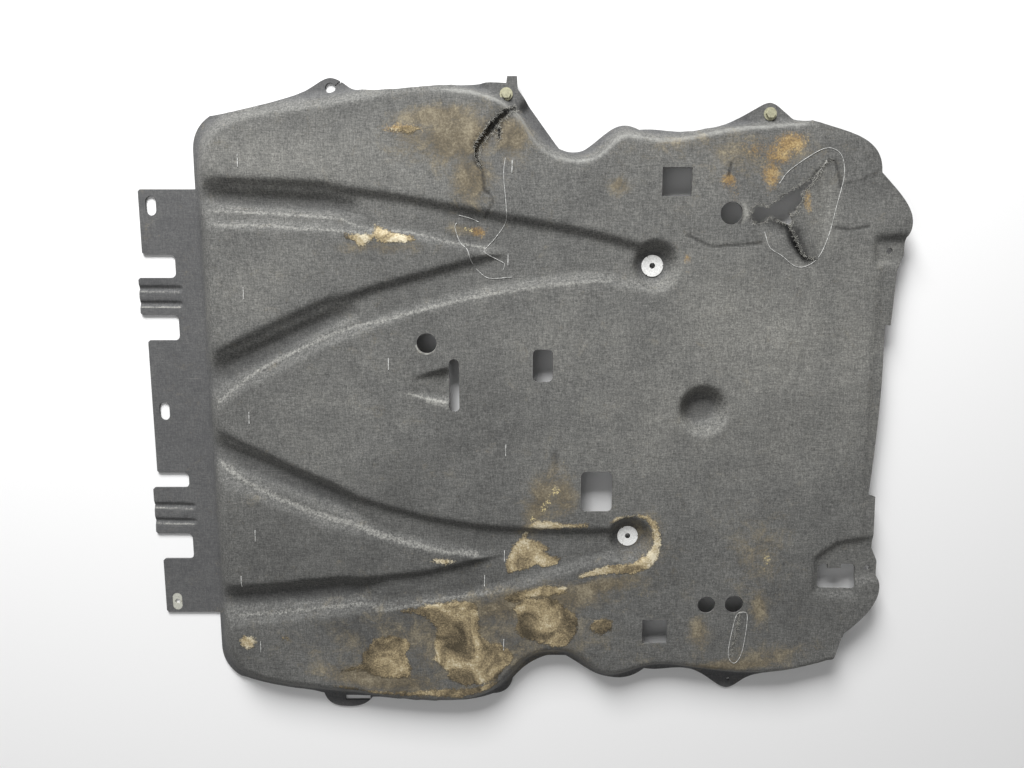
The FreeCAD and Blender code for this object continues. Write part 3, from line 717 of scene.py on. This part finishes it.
def paint(mesh, heights, above=None, left_out=()):
    """Writes to the mesh's corners where the felt is soiled and worn and where it gets painted shade and
    highlights, on its road side only.
    """
    corners = np.zeros(len(mesh.vertices) * 3)
    mesh.vertices.foreach_get("co", corners)
    places = corners.reshape(-1, 3) / MM
    top = heights.at(heights.z, places[:, 0], places[:, 1]) if above is None else above
    road_side = (places[:, 2] > top - FELT_GAUGE / 2).astype(float)

    def place_value(field):
        return heights.at(field, places[:, 0], places[:, 1])

    bend, sunk = place_value(heights.bend), place_value(heights.sunk)
    mud, tone = patches(places)
    fields = (
        ("mud", mud), ("tone", tone), ("rust", soiling(places, RUST)), ("gold", soiling(places, GOLD)),
        ("brown", soiling(places, BROWN)), ("rubbed_and_lit", place_value(heights.rubbed_and_lit)),
        ("darkening_and_shade", soiling(places, DARKENING_AND_SHADE)), ("pale", soiling(places, PALE)),
        ("worn", np.clip(bend / 0.3, 0, 1)), ("hollow_dirt_and_shade", np.clip(sunk / 6, 0, 1)),
        ("steep", place_value(heights.steep)), ("crease_shade", place_value(heights.dark)),
    )
    for name, values in fields:
        write_attribute(mesh, name, 0 * values if name in left_out else values * road_side)


class Shading:
    """A material's node tree with short ways to add and join nodes."""

    def __init__(self, name):
        self.material = bpy.data.materials.new(name)
        self.material.use_nodes = True
        self.nodes = self.material.node_tree.nodes
        self.links = self.material.node_tree.links
        self.shader = self.nodes["Principled BSDF"]
        self.place = self.nodes.new("ShaderNodeTexCoord").outputs["Object"]

    def join(self, value, socket):
        if isinstance(value, bpy.types.NodeSocket):
            self.links.new(value, socket)
        else:
            socket.default_value = value

    def stretched(self, scale, turn=0.0):
        node = self.nodes.new("ShaderNodeMapping")
        node.inputs["Scale"].default_value = scale
        node.inputs["Rotation"].default_value = (0, 0, math.radians(turn))
        self.links.new(self.place, node.inputs["Vector"])
        return node.outputs["Vector"]

    def noise(self, scale, detail=2.0, roughness=0.5, place=None, distortion=0.0):
        node = self.nodes.new("ShaderNodeTexNoise")
        self.links.new(place or self.place, node.inputs["Vector"])
        node.inputs["Distortion"].default_value = distortion
        node.inputs["Scale"].default_value = scale
        node.inputs["Detail"].default_value = detail
        node.inputs["Roughness"].default_value = roughness
        return node.outputs["Fac"]

    def attribute(self, name):
        node = self.nodes.new("ShaderNodeAttribute")
        node.attribute_name = name
        return node.outputs["Fac"]

    def math(self, operation, first, second=0.0):
        node = self.nodes.new("ShaderNodeMath")
        node.operation = operation
        self.join(first, node.inputs[0])
        self.join(second, node.inputs[1])
        return node.outputs[0]

    def between(self, value, low, high, to_low=0.0, to_high=1.0):
        node = self.nodes.new("ShaderNodeMapRange")
        node.interpolation_type = "SMOOTHSTEP"
        self.join(value, node.inputs["Value"])
        limits = {"From Min": low, "From Max": high, "To Min": to_low, "To Max": to_high}
        for name, amount in limits.items():
            node.inputs[name].default_value = amount
        return node.outputs["Result"]

    def ramp(self, value, *stops):
        node = self.nodes.new("ShaderNodeValToRGB")
        self.join(value, node.inputs["Fac"])
        elements = node.color_ramp.elements
        while len(elements) < len(stops):
            elements.new(0.5)
        for element, (position, colour) in zip(elements, stops):
            element.position = position
            element.color = (*colour, 1)
        return node.outputs["Color"]

    def mix(self, amount, first, second, blend="MIX"):
        node = self.nodes.new("ShaderNodeMix")
        node.data_type = "RGBA"
        node.blend_type = blend
        self.join(amount, node.inputs["Factor"])
        for value, socket in ((first, node.inputs[6]), (second, node.inputs[7])):
            self.join(value if isinstance(value, bpy.types.NodeSocket) else (*value, 1), socket)
        return node.outputs[2]

    def bump(self, height, distance, strength=1.0, under=None):
        node = self.nodes.new("ShaderNodeBump")
        node.inputs["Strength"].default_value = strength
        node.inputs["Distance"].default_value = distance
        self.join(height, node.inputs["Height"])
        if under is not None:
            self.links.new(under, node.inputs["Normal"])
        return node.outputs["Normal"]

    def finish(self, colour, roughness, normal, metallic=0.0, specular=0.5):
        self.join(colour, self.shader.inputs["Base Color"])
        self.join(roughness, self.shader.inputs["Roughness"])
        self.links.new(normal, self.shader.inputs["Normal"])
        self.shader.inputs["Metallic"].default_value = metallic
        self.shader.inputs["Specular IOR Level"].default_value = specular
        return self.material


def worn_felt():
    """Pressed grey felt: crossed fibres, scuffs and scratches under films of dirt, mud and rust, with
    painted shade in hollows, creases and darker areas and painted highlights on edges and pale lines.
    """
    s = Shading("worn_felt")
    lengthwise = s.noise(1, 3, 0.62, s.stretched((110, 700, 200), 38))
    crosswise = s.noise(1, 3, 0.62, s.stretched((700, 110, 200), 21))
    speckle = s.noise(520, 4, 0.78)
    fibre = s.math("ADD", s.math("MULTIPLY", s.math("ADD", lengthwise, crosswise), 0.24),
                   s.math("MULTIPLY", speckle, 0.52))
    nap = s.math("SUBTRACT", s.noise(330, 3, 0.8), 0.5)
    coarse = s.math("MULTIPLY", nap, s.attribute("steep"))
    fibre = s.math("ADD", fibre, s.math("MULTIPLY", coarse, 0.42))
    colour = s.ramp(fibre, (0.36, (0.05, 0.05, 0.049)), (0.5, (0.118, 0.118, 0.113)),
                    (0.64, (0.22, 0.218, 0.207)))
    tone = s.math("ADD", s.math("MULTIPLY", s.noise(9, 5, 0.62), 0.5),
                  s.math("MULTIPLY", s.noise(40, 5, 0.65), 0.35))
    tone = s.math("ADD", tone, s.math("MULTIPLY", s.attribute("pale"), 0.26))
    # Paler and darker areas; the darker ones include painted shadow and shade.
    tone = s.math("SUBTRACT", tone, s.math("MULTIPLY", s.attribute("darkening_and_shade"), 0.24))
    colour = s.mix(1.0, colour, s.ramp(tone, (0.0, (0.35, 0.35, 0.36)), (0.43, (1.0, 1.0, 1.0)),
                                       (0.95, (1.85, 1.83, 1.76))), "MULTIPLY")
    # The low flange and tabs darker and bluer: a bluish tone and painted shade.
    split = s.nodes.new("ShaderNodeSeparateXYZ")
    s.links.new(s.place, split.inputs["Vector"])
    low_tint_and_shade = s.between(split.outputs["Z"], 0.02, 0.004)
    colour = s.mix(s.math("MULTIPLY", low_tint_and_shade, 0.5), colour, (0.078, 0.079, 0.086))
    # Darker in hollows: dirt and painted shade.
    colour = s.mix(s.math("MULTIPLY", s.attribute("hollow_dirt_and_shade"), 0.1), colour, (0.045, 0.047, 0.05))
    # Paler on convex bends and rims: edge wear and painted highlight.
    scuff = s.math("SUBTRACT", s.noise(90, 4, 0.75), 0.5)
    worn = s.between(s.math("ADD", s.attribute("worn"), scuff), 0.4, 1.3)
    colour = s.mix(s.math("MULTIPLY", worn, 0.42), colour, (0.36, 0.36, 0.34))
    # Pale lines: wear from rubbing and painted highlight.
    rubbed_and_lit = s.between(s.math("ADD", s.attribute("rubbed_and_lit"), s.math("MULTIPLY", nap, 1.2)), 0.3, 0.95)
    colour = s.mix(s.math("MULTIPLY", rubbed_and_lit, 0.6), colour, (0.46, 0.455, 0.42))
    scratch = s.math("MAXIMUM", s.between(s.noise(1, 2, 0.5, s.stretched((16, 900, 100), 24)), 0.68, 0.76),
                     s.between(s.noise(1, 2, 0.5, s.stretched((18, 1000, 100), -38)), 0.68, 0.76))
    scratch = s.math("MULTIPLY", scratch, s.between(s.noise(14, 2, 0.5), 0.45, 0.6))
    colour = s.mix(s.math("MULTIPLY", scratch, 0.35), colour, (0.3, 0.295, 0.275))

    grit = s.noise(400, 4, 0.75)
    blotch = s.noise(42, 6, 0.72, distortion=0.6)
    film = s.math("ADD", s.attribute("brown"), s.math("MULTIPLY", s.math("SUBTRACT", blotch, 0.5), 1.5))
    film = s.between(s.math("ADD", film, s.math("MULTIPLY", s.math("SUBTRACT", grit, 0.5), 0.6)), 0.1, 0.85)
    film_tone = s.math("ADD", s.math("MULTIPLY", blotch, 0.55), s.math("MULTIPLY", grit, 0.45))
    colour = s.mix(s.math("MULTIPLY", film, 0.78), colour,
                   s.ramp(film_tone, (0.36, (0.055, 0.045, 0.03)), (0.5, (0.15, 0.122, 0.078)),
                          (0.64, (0.33, 0.285, 0.195))))
    flaked = s.math("SUBTRACT", s.noise(120, 4, 0.7), 0.5)
    rust = s.math("ADD", s.attribute("rust"), s.math("MULTIPLY", flaked, 0.9))
    rust = s.between(s.math("ADD", rust, s.math("MULTIPLY", s.math("SUBTRACT", grit, 0.5), 1.2)), 0.2, 0.8)
    rust_tone = s.math("ADD", s.math("MULTIPLY", blotch, 0.5), s.math("MULTIPLY", grit, 0.5))
    colour = s.mix(s.math("MULTIPLY", rust, 0.7), colour,
                   s.ramp(rust_tone, (0.38, (0.11, 0.07, 0.036)), (0.5, (0.31, 0.195, 0.07)),
                          (0.62, (0.58, 0.43, 0.2))))
    flecks = s.math("SUBTRACT", s.noise(380, 3, 0.8), 0.95)
    gold = s.between(s.math("ADD", s.attribute("gold"), flecks), 0.12, 0.25)
    colour = s.mix(gold, colour, (0.6, 0.5, 0.26))

    swirl = s.noise(25, 4, 0.58, distortion=0.8)
    crumb = s.noise(480, 4, 0.75)
    edge = s.math("ADD", s.math("MULTIPLY", s.math("SUBTRACT", s.noise(48, 6, 0.75), 0.5), 1.5),
                  s.math("MULTIPLY", s.math("SUBTRACT", crumb, 0.5), 0.8))
    mud = s.between(s.math("ADD", s.attribute("mud"), edge), 0.44, 0.66)
    layer = s.math("ADD", s.math("MULTIPLY", swirl, 0.95), s.math("MULTIPLY", crumb, 0.55))
    layer = s.math("SUBTRACT", layer, 0.22)
    layer = s.math("ADD", layer, s.math("MULTIPLY", s.attribute("tone"), 0.17))
    mud_colour = s.ramp(layer, (0.4, (0.055, 0.044, 0.027)), (0.53, (0.19, 0.15, 0.09)),
                        (0.64, (0.4, 0.32, 0.185)), (0.8, (0.74, 0.67, 0.5)))
    colour = s.mix(s.math("MULTIPLY", mud, 0.92), colour, mud_colour)
    # Near-black painted shade along creases and cracks, and painted shadow along the tear's lower lip.
    colour = s.mix(s.math("MULTIPLY", s.attribute("crease_shade"), 0.85), colour, (0.018, 0.018, 0.018))

    roughness = s.between(fibre, 0.35, 0.65, 0.78, 0.95)
    normal = s.bump(fibre, 0.0006, 0.55)
    normal = s.bump(s.math("MULTIPLY", mud, s.math("ADD", crumb, 0.4)), 0.0014, 0.8, normal)
    return s.finish(colour, roughness, normal, specular=0.2)


def plated_steel(name, tint, dulled):
    """Zinc-plated steel with fine turning marks, dull spots and patches of dirt."""
    s = Shading(name)
    grain = s.noise(1, 3, 0.6, s.stretched((2600, 500, 900)))
    spots = s.noise(420, 4, 0.7)
    dirt = s.between(s.noise(190, 4, 0.7), 0.52, 0.72)
    dark = tuple(c * 0.55 for c in tint)
    marks = s.math("ADD", s.math("MULTIPLY", grain, 0.5), s.math("MULTIPLY", spots, 0.5))
    colour = s.ramp(marks, (0.3, dark), (0.62, tint))
    colour = s.mix(s.math("MULTIPLY", dirt, dulled), colour, (0.11, 0.095, 0.065))
    roughness = s.between(spots, 0.3, 0.7, 0.32, 0.6)
    return s.finish(colour, roughness, s.bump(grain, 0.00012, 0.5), metallic=0.3)


def white_thread():
    """Rubbed white thread."""
    s = Shading("white_thread")
    rub = s.noise(300, 4, 0.7)
    colour = s.ramp(rub, (0.36, (0.22, 0.22, 0.21)), (0.6, (0.72, 0.72, 0.7)))
    return s.finish(colour, 0.85, s.bump(rub, 0.0002, 0.5))


def surface_tree(piece):
    corners = [v.co / MM for v in piece.data.vertices]
    return BVHTree.FromPolygons(corners, [list(p.vertices) for p in piece.data.polygons])


def laid_lines(tree, paths, lift):
    """Paths laid on the felt, as corners and edges, broken where they cross an opening."""
    corners, edges = [], []
    for path in paths:
        unbroken = False
        for x, y in path:
            hit = tree.ray_cast(Vector((x, y, ABOVE_ALL)), DOWN)[0]
            if hit is not None:
                if unbroken:
                    edges.append((len(corners) - 1, len(corners)))
                corners.append((x * MM, y * MM, (hit.z + lift) * MM))
            unbroken = hit is not None
    return corners, edges


class Growth:
    """A node tree that grows a mesh along lines: named inputs, nodes joined by name, one result."""

    def __init__(self, name, **inputs):
        self.tree = bpy.data.node_groups.new(name, "GeometryNodeTree")
        self.tree.interface.new_socket("Lines", in_out="INPUT", socket_type="NodeSocketGeometry")
        self.tree.interface.new_socket("Mesh", in_out="OUTPUT", socket_type="NodeSocketGeometry")
        self.identifiers = {}
        for label, kind in inputs.items():
            socket = self.tree.interface.new_socket(label, in_out="INPUT", socket_type="NodeSocket" + kind)
            self.identifiers[label] = socket.identifier
        self.given = self.tree.nodes.new("NodeGroupInput").outputs
        self.result = self.tree.nodes.new("NodeGroupOutput").inputs["Mesh"]

    def node(self, kind, settings=None, **inputs):
        made = self.tree.nodes.new(kind)
        for name, value in (settings or {}).items():
            setattr(made, name, value)
        for name, value in inputs.items():
            socket = next(i for i in made.inputs if i.name == name.replace("_", " ") and i.enabled)
            if isinstance(value, bpy.types.NodeSocket):
                self.tree.links.new(value, socket)
            else:
                socket.default_value = value
        return made.outputs

    def grown(self, name, corners, edges, **values):
        """The tree's result along the lines as a plain mesh object."""
        lines = bpy.data.meshes.new(name + "_lines")
        lines.from_pydata(corners, edges, [])
        carrier = add_object(name + "_lines", lines)
        growth = carrier.modifiers.new("growth", "NODES")
        growth.node_group = self.tree
        for label, value in values.items():
            growth[self.identifiers[label]] = value
        mesh = bpy.data.meshes.new_from_object(carrier.evaluated_get(bpy.context.evaluated_depsgraph_get()))
        bpy.data.objects.remove(carrier)
        piece = add_object(name, mesh)
        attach(piece, "root")
        return piece


def thread_growth():
    """Round thread along each line."""
    g = Growth("thread", Radius="Float", Look="Material")
    curve = g.node("GeometryNodeMeshToCurve", Mesh=g.given["Lines"])["Curve"]
    profile = g.node("GeometryNodeCurvePrimitiveCircle", Resolution=6, Radius=g.given["Radius"])["Curve"]
    tube = g.node("GeometryNodeCurveToMesh", Curve=curve, Profile_Curve=profile, Fill_Caps=True)["Mesh"]
    whole = g.node("GeometryNodeRealizeInstances", Geometry=tube)["Geometry"]
    coloured = g.node("GeometryNodeSetMaterial", Geometry=whole, Material=g.given["Look"])["Geometry"]
    g.tree.links.new(coloured, g.result)
    return g


def fibre_growth():
    """Loose fibres along each line, each bent and turned at random from a fixed seed."""
    g = Growth("loose_fibres", Spacing="Float", Shortest="Float", Longest="Float", Seed="Int",
               Look="Material")
    curve = g.node("GeometryNodeMeshToCurve", Mesh=g.given["Lines"])["Curve"]
    points = g.node("GeometryNodeCurveToPoints", {"mode": "LENGTH"}, Curve=curve,
                    Length=g.given["Spacing"])["Points"]
    bend = g.node("GeometryNodeCurveQuadraticBezier", Resolution=3, Start=(0, 0, 0),
                  Middle=(0.5, 0.2, 0.25), End=(1, 0, 0.1))["Curve"]
    profile = g.node("GeometryNodeCurvePrimitiveCircle", Resolution=3, Radius=0.04)["Curve"]
    fibre = g.node("GeometryNodeCurveToMesh", Curve=bend, Profile_Curve=profile, Fill_Caps=True)["Mesh"]
    turn = g.node("FunctionNodeRandomValue", {"data_type": "FLOAT_VECTOR"}, Min=(-0.5, -0.55, 0.0),
                  Max=(0.5, 0.25, 6.283), Seed=g.given["Seed"])["Value"]
    length = g.node("FunctionNodeRandomValue", {"data_type": "FLOAT"}, Min=g.given["Shortest"],
                    Max=g.given["Longest"], Seed=g.given["Seed"])
    length = next(o for o in length if o.enabled)
    placed = g.node("GeometryNodeInstanceOnPoints", Points=points, Instance=fibre, Rotation=turn,
                    Scale=length)
    whole = g.node("GeometryNodeRealizeInstances", Geometry=placed["Instances"])["Geometry"]
    coloured = g.node("GeometryNodeSetMaterial", Geometry=whole, Material=g.given["Look"])["Geometry"]
    g.tree.links.new(coloured, g.result)
    return g


def from_hinge(plan):
    """Distance of each place from the flap's hinge line, positive on the flap."""
    along = np.subtract(HINGE_HIGH, HINGE_LOW)
    away = plan - np.array(HINGE_LOW)
    return (away[:, 1] * along[0] - away[:, 0] * along[1]) / math.hypot(*along)


def torn_flap(loop, heights, felt):
    """The torn corner of felt, bent up from the panel, with a frayed edge."""
    reach = np.clip(from_hinge(loop), 0, None) * np.clip((FLAP_TOP - loop[:, 1]) / FLAP_FADE, 0, 1)
    outline = stepped_loop(loop - np.outer(FLAP_STRETCH * reach, (1.0, 0.0)))
    places = staggered(FLAP_STEP)
    places = places[inside_loops(places, [outline])]
    tree = kdtree.KDTree(len(outline))
    for k, (x, y) in enumerate(outline):
        tree.insert((x, y, 0), k)
    tree.balance()
    inside = [p for p in places if tree.find((*p, 0))[2] > FLAP_CLEAR]
    plan, triangles = triangulated([outline], np.array(inside))
    reach = from_hinge(plan)
    rise = math.tan(math.radians(FLAP_RISE)) / (1 + FLAP_STRETCH)
    top = CROWN + np.clip(reach, 0, None) * rise + gentle_waves(plan[:, 0], plan[:, 1])
    top -= 0.3 * np.clip(-reach, 0, 3)
    mesh = sheet_mesh("torn_flap", plan, top, top - 0.9 * FELT_GAUGE, triangles)
    paint(mesh, heights, top.min() - FELT_GAUGE, ("darkening_and_shade", "hollow_dirt_and_shade", "worn"))
    piece = add_object("torn_flap", mesh, felt)
    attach(piece, "root")
    edge = plan[:len(outline)]
    return np.column_stack([edge, top[:len(outline)]])


def crack_lip(heights, felt):
    """Ragged lower lip inside the crack, pressed down under the upper one."""
    far = smooth_path(LIP_FAR, LIP_STEP)
    near = smooth_path(LIP_NEAR, LIP_STEP)
    near = near[np.linspace(0, len(near) - 1, len(far)).round().astype(int)]
    ragged = np.array([noise.noise(Vector((k * 0.3, 5, 0))) + 0.6 * noise.noise(Vector((k * 0.9, 2, 0)))
                       for k in range(len(far))])
    far = far + (near - far) * (0.16 + 0.16 * ragged)[:, None]
    rows = [near + (far - near) * t for t in LIP_SHARES]
    level = heights.at(heights.z, near[:, 0], near[:, 1])
    plan = np.vstack(rows)
    top = np.concatenate([level - drop for drop in LIP_DROPS])
    count = len(far)
    triangles = []
    for row in range(len(LIP_SHARES) - 1):
        for k in range(count - 1):
            a, b = row * count + k, row * count + k + 1
            triangles += [(a, b, b + count), (a, b + count, a + count)]
    mesh = sheet_mesh("crack_lip", plan, top, top - LIP_GAUGE, triangles)
    paint(mesh, heights, 0.0)
    piece = add_object("crack_lip", mesh, felt)
    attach(piece, "root")


def torn_fibre():
    """Pale loose fibre."""
    s = Shading("torn_fibre")
    pale = s.noise(200, 3, 0.7)
    colour = s.ramp(pale, (0.35, (0.14, 0.137, 0.125)), (0.65, (0.55, 0.54, 0.49)))
    return s.finish(colour, 0.95, s.bump(pale, 0.0002, 0.5))


def seen_ray(nodes, links):
    """1 for rays that show a thing, straight or by a reflection, and 0 for rays that light it."""
    rays = nodes.new("ShaderNodeLightPath").outputs
    total = rays["Is Camera Ray"]
    for kind in ("Is Glossy Ray", "Is Transmission Ray"):
        node = nodes.new("ShaderNodeMath")
        node.operation = "MAXIMUM"
        links.new(total, node.inputs[0])
        links.new(rays[kind], node.inputs[1])
        total = node.outputs[0]
    return total


def pale_floor():
    """Plain pale floor, one colour all over, that keeps the shield's shadow."""
    s = Shading("pale_floor")
    s.shader.inputs["Base Color"].default_value = FLOOR_COLOUR
    s.shader.inputs["Roughness"].default_value = 0.9
    return s.material


def add_stage():
    """Floor and room."""
    mesh = bpy.data.meshes.new("floor")
    level = -FLOOR_DEPTH * MM
    corners = [(x * FLOOR_HALF, y * FLOOR_HALF, level) for x, y in ((-1, -1), (1, -1), (1, 1), (-1, 1))]
    mesh.from_pydata(corners, [], [(0, 1, 2, 3)])
    add_object("floor", mesh, pale_floor())
    world = bpy.data.worlds.new("studio")
    world.use_nodes = True
    background = world.node_tree.nodes["Background"]
    background.inputs["Color"].default_value = (1, 1, 1, 1)
    nodes, links = world.node_tree.nodes, world.node_tree.links
    strength = nodes.new("ShaderNodeMapRange")
    links.new(seen_ray(nodes, links), strength.inputs["Value"])
    strength.inputs["To Min"].default_value = ROOM_LIGHT
    strength.inputs["To Max"].default_value = ROOM_SEEN
    links.new(strength.outputs["Result"], background.inputs["Strength"])
    bpy.context.scene.world = world


def add_lamp(name, place, breadth, watts):
    """Soft square lamp, aimed at the middle of the shield."""
    lamp = bpy.data.lights.new(name, "AREA")
    lamp.size = breadth
    lamp.energy = watts
    holder = bpy.data.objects.new(name, lamp)
    holder.location = place
    holder.rotation_mode = "QUATERNION"
    holder.rotation_quaternion = (-Vector(place)).to_track_quat("-Z", "Y")
    bpy.context.scene.collection.objects.link(holder)


def add_camera():
    """Camera at the photograph's angle: almost straight down, tipped towards the front of the picture."""
    camera = bpy.data.cameras.new("camera")
    camera.sensor_width = SENSOR_WIDTH
    camera.lens = CAMERA_FOCAL / FRAME_WIDTH * SENSOR_WIDTH
    camera.clip_start = 0.01
    holder = bpy.data.objects.new("camera", camera)
    holder.location = CAMERA_PLACE
    holder.rotation_euler = (-math.radians(CAMERA_TILT), 0, 0)
    bpy.context.scene.collection.objects.link(holder)
    bpy.context.scene.camera = holder


def add_threads(panel):
    """Pulled threads round the damage and short white stitches, laid on the felt."""
    tree = surface_tree(panel)
    thread = thread_growth()
    white = white_thread()
    pulled = [smooth_path(line, THREAD_STEP) for line in PULLED_THREADS]
    thread.grown("pulled_threads", *laid_lines(tree, pulled, THREAD_RADIUS),
                 Radius=THREAD_RADIUS * MM, Look=white)
    half = STITCH_LENGTH / 2
    stitches = [np.linspace((x + STITCH_LEAN, y + half), (x, y - half), STITCH_POINTS) for x, y in STITCHES]
    thread.grown("white_stitches", *laid_lines(tree, stitches, STITCH_RADIUS),
                 Radius=STITCH_RADIUS * MM, Look=white)


def add_fibres(heights, frayed_loops, flap_edge):
    """Loose fibres along the felt's breaks, left out at the flap's hinge."""
    torn = [np.column_stack([loop, heights.at(heights.z, *loop.T)]) for loop in frayed_loops] + [flap_edge]
    corners = np.vstack(torn) * MM
    edges, first = [], 0
    for loop in torn:
        torn_open = np.abs(from_hinge(loop[:, :2])) > HINGE_CLEAR
        both_open = torn_open[:-1] & torn_open[1:]
        edges.extend((first + k, first + k + 1) for k in np.flatnonzero(both_open).tolist())
        first += len(loop)
    fibre_growth().grown("torn_fibres", [tuple(c) for c in corners], edges, Spacing=FIBRE_SPACING * MM,
                         Shortest=FIBRE_SHORTEST * MM, Longest=FIBRE_LONGEST * MM, Seed=FIBRE_SEED,
                         Look=torn_fibre())


def dress_fasteners():
    """Steel and eased edges for the washers, screws and bush."""
    steels = {name: plated_steel(name, *finish) for name, finish in STEELS.items()}
    for node, steel in FASTENERS.items():
        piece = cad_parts[node]
        piece.data.materials.clear()
        piece.data.materials.append(steels[steel])
        weld = piece.modifiers.new("weld", "WELD")
        weld.merge_threshold = WELD_REACH * MM
        bevel = piece.modifiers.new("eased_edges", "BEVEL")
        bevel.width = EASED_EDGE * MM
        bevel.segments = 2
        bevel.limit_method = "ANGLE"
        bevel.angle_limit = math.radians(EASED_ANGLE)


felt = worn_felt()
panel, heights, flap_loop, frayed_loops = felt_panel(felt)
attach(panel, "root")
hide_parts("splash_panel")
flap_edge = torn_flap(flap_loop, heights, felt)
crack_lip(heights, felt)
add_threads(panel)
add_fibres(heights, frayed_loops, flap_edge)
dress_fasteners()
add_stage()
for lamp in LAMPS:
    add_lamp(*lamp)
add_camera()
bpy.context.scene.view_settings.view_transform = "Standard"
